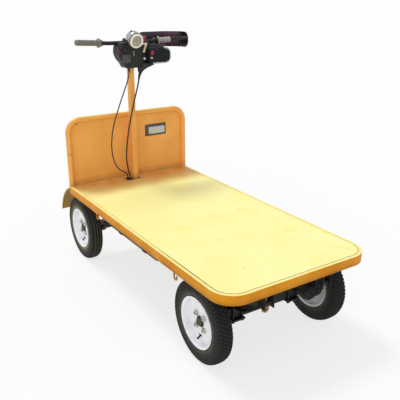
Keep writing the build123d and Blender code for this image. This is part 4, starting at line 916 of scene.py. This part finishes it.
# The pale bead along the box's lower and right edges is a painted highlight
BEND_Y, LOW_BEND, HIGH_BEND, BEND_RADIUS = -217, 1313, 1336, 35  # the box's right corners, in millimetres
t = np.linspace(0, math.pi / 2, 14)
low_corner = np.c_[BEND_Y - BEND_RADIUS * np.sin(t), LOW_BEND - BEND_RADIUS * np.cos(t)]
high_corner = np.c_[BEND_Y - BEND_RADIUS * np.cos(t), HIGH_BEND + BEND_RADIUS * np.sin(t)]
box_edge = np.concatenate([[(-122, 1278), (-170, 1278)], low_corner, high_corner, [(-205, 1371)]]) * MM
highlight_path = np.c_[np.full(len(box_edge), BOX_BACK + 2 * MM), box_edge]
surface("control_box_painted_highlight", [tube(highlight_path, 4 * MM, 14)], "steering", PALE_PLASTIC_AND_HIGHLIGHT)
BOX_SCREWS = [(-225, 1357), (-225, 1292), (-150, 1364), (-150, 1285)]
SCREW_LINE = [(0, 4), (1.6, 4), (2.6, 2.6)]
heads = [turned(SCREW_LINE, (BOX_BACK, y * MM, z * MM), BACKWARD, 20) for y, z in BOX_SCREWS]
surface("control_box_screws", heads, "steering", BARE_STEEL)

# %% [markdown]
# The battery box is folded from sheet steel. A rolled bead stiffens its walls below the lid, and two toggle
# latches hold the lid on each side.

# %% Battery box bead and latches
BEAD_DROP, BEAD_HALF, BEAD_ROUNDING = 42 * MM, 3.5 * MM, 6 * MM
LATCH_STATIONS = np.array([-150, 150]) * MM
# Half width, top and foot below the lid, and how far it stands out, in millimetres
LATCH_PLATES = [(13, 18, 60, 3.0), (9, 26, 52, 6.0), (5, 52, 66, 7.5)]
box_low, box_high = (np.array(corner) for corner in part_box("battery_box"))
half = (box_high - box_low)[:2] / 2
box_middle = (box_low + box_high)[:2] / 2
t = round_angles(120)
circle = np.c_[np.cos(t), np.sin(t)]
plan = np.sign(circle) * (half - BEAD_ROUNDING) + BEAD_ROUNDING * circle
bead_path = np.c_[box_middle + plan, np.full(len(t), box_high[2] - BEAD_DROP)]
bead_path = np.concatenate([bead_path, bead_path[:1]])
surface("battery_bead", [tube(bead_path, BEAD_HALF, 12)], "chassis", CHASSIS_BLACK)
latches = []
for x in box_middle[0] + LATCH_STATIONS:
    for half_x, top, foot, proud in LATCH_PLATES:
        centre, half_z = (x, box_high[2] - (top + foot) / 2 * MM), (foot - top) / 2 * MM
        latch = rounded_plate(centre, half_x * MM, half_z, box_high[1] + proud * MM, box_high[1], 6)
        latches += [latch[..., [1, 0, 2]], latch[..., [1, 0, 2]] * FLIP_SIDE]
surface("battery_latches", latches, "chassis", ZINC_PLATE)

# %% [markdown]
# The headboard carries a small plate with a dark frame and a pale field. It is left blank.

# %% Blank plate
PLATE_MIDDLE = np.array([-211 * MM, DECK_TOP + 305 * MM])
FIELD_MIDDLE = PLATE_MIDDLE + np.array([-9, -4]) * MM
PLATE_HALF, FIELD_HALF = np.array([83, 41]) * MM, np.array([64, 25]) * MM
FIELD_FACE, FIELD_ROOT = BOARD_FACE - 2.6 * MM, BOARD_FACE - 1.9 * MM
plate_frame = rounded_plate(PLATE_MIDDLE, *PLATE_HALF, BOARD_FACE - 2.0 * MM, BOARD_FACE, 24)
plate_field = rounded_plate(FIELD_MIDDLE, *FIELD_HALF, FIELD_FACE, FIELD_ROOT, 12)
surface("blank_plate", [plate_frame], "chassis", PANEL_PLASTIC)
surface("blank_plate_field", [plate_field], "chassis", PALE_PLASTIC_AND_HIGHLIGHT)

# %% [markdown]
# The floor and the background are white, as in a catalogue picture, and the light is soft and plain: a wide
# sun from ahead, as in the photograph, a wider one from behind the camera, and a bright sky all round. The
# camera, and gloss and glass, see the sky at full white, and the floor three quarters so, so that it keeps
# a shadow.

# %% Floor, sky and lamps
def seen_straight(tree):
    """1 on rays from the camera and on mirrored and transmitted ones, else 0."""
    rays = add(tree, "ShaderNodeLightPath").outputs
    pair = {0: rays["Is Camera Ray"], 1: rays["Is Glossy Ray"]}
    gloss = add(tree, "ShaderNodeMath", links=pair, operation="MAXIMUM")
    both = {0: gloss.outputs[0], 1: rays["Is Transmission Ray"]}
    return add(tree, "ShaderNodeMath", links=both, operation="MAXIMUM").outputs[0]


REACH = 60.0
floor_mesh = bpy.data.meshes.new("floor")
corners = [(-REACH, -REACH, 0), (REACH, -REACH, 0), (REACH, REACH, 0), (-REACH, REACH, 0)]
floor_mesh.from_pydata(corners, [], [(0, 1, 2, 3)])
floor = new_object("floor", floor_mesh)
floor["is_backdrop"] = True
floor_paint = bpy.data.materials.new("matt_white_floor")
floor_paint.use_nodes = True
tree = floor_paint.node_tree
matt = tree.nodes["Principled BSDF"]
matt.inputs["Base Color"].default_value = linear("F4F4F4")
matt.inputs["Roughness"].default_value = 0.9
matt.inputs["Specular IOR Level"].default_value = 0.0
FLOOR_GLOW = 0.75
glow = add(tree, "ShaderNodeEmission", {"Strength": 1.0})
share = add(tree, "ShaderNodeMath", {1: FLOOR_GLOW}, {0: seen_straight(tree)}, operation="MULTIPLY")
lit = add(tree, "ShaderNodeMixShader", links={0: share.outputs[0], 1: matt.outputs[0], 2: glow.outputs[0]})
tree.links.new(lit.outputs[0], tree.nodes["Material Output"].inputs["Surface"])
floor_mesh.materials.append(floor_paint)

world = bpy.data.worlds.new("white_sky")
scene.world = world
world.use_nodes = True
tree = world.node_tree
SKY_LIGHT = 0.50
tree.nodes["Background"].inputs["Color"].default_value = (1, 1, 1, 1)
level = add(tree, "ShaderNodeMapRange", {"To Min": SKY_LIGHT, "To Max": 1.0}, {"Value": seen_straight(tree)})
tree.links.new(level.outputs["Result"], tree.nodes["Background"].inputs["Strength"])
# Name, direction toward it, spread in degrees and power
SUNS = [("sun_ahead", (0.434, 0.131, 0.892), 16, 1.48), ("fill_behind", (-0.64, 0.64, 0.42), 70, 0.9)]
for name, toward, spread, power in SUNS:
    light = bpy.data.lights.new(name, "SUN")
    light.energy = power
    light.angle = math.radians(spread)
    new_object(name, light).rotation_euler = Vector(toward).to_track_quat("Z", "Y").to_euler()
scene.view_settings.view_transform = "Standard"

# %% Sizes, and the end of the frame's work
{"cad": [CAD_LOW, CAD_HIGH], "visual": [list(corner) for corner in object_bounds()]}
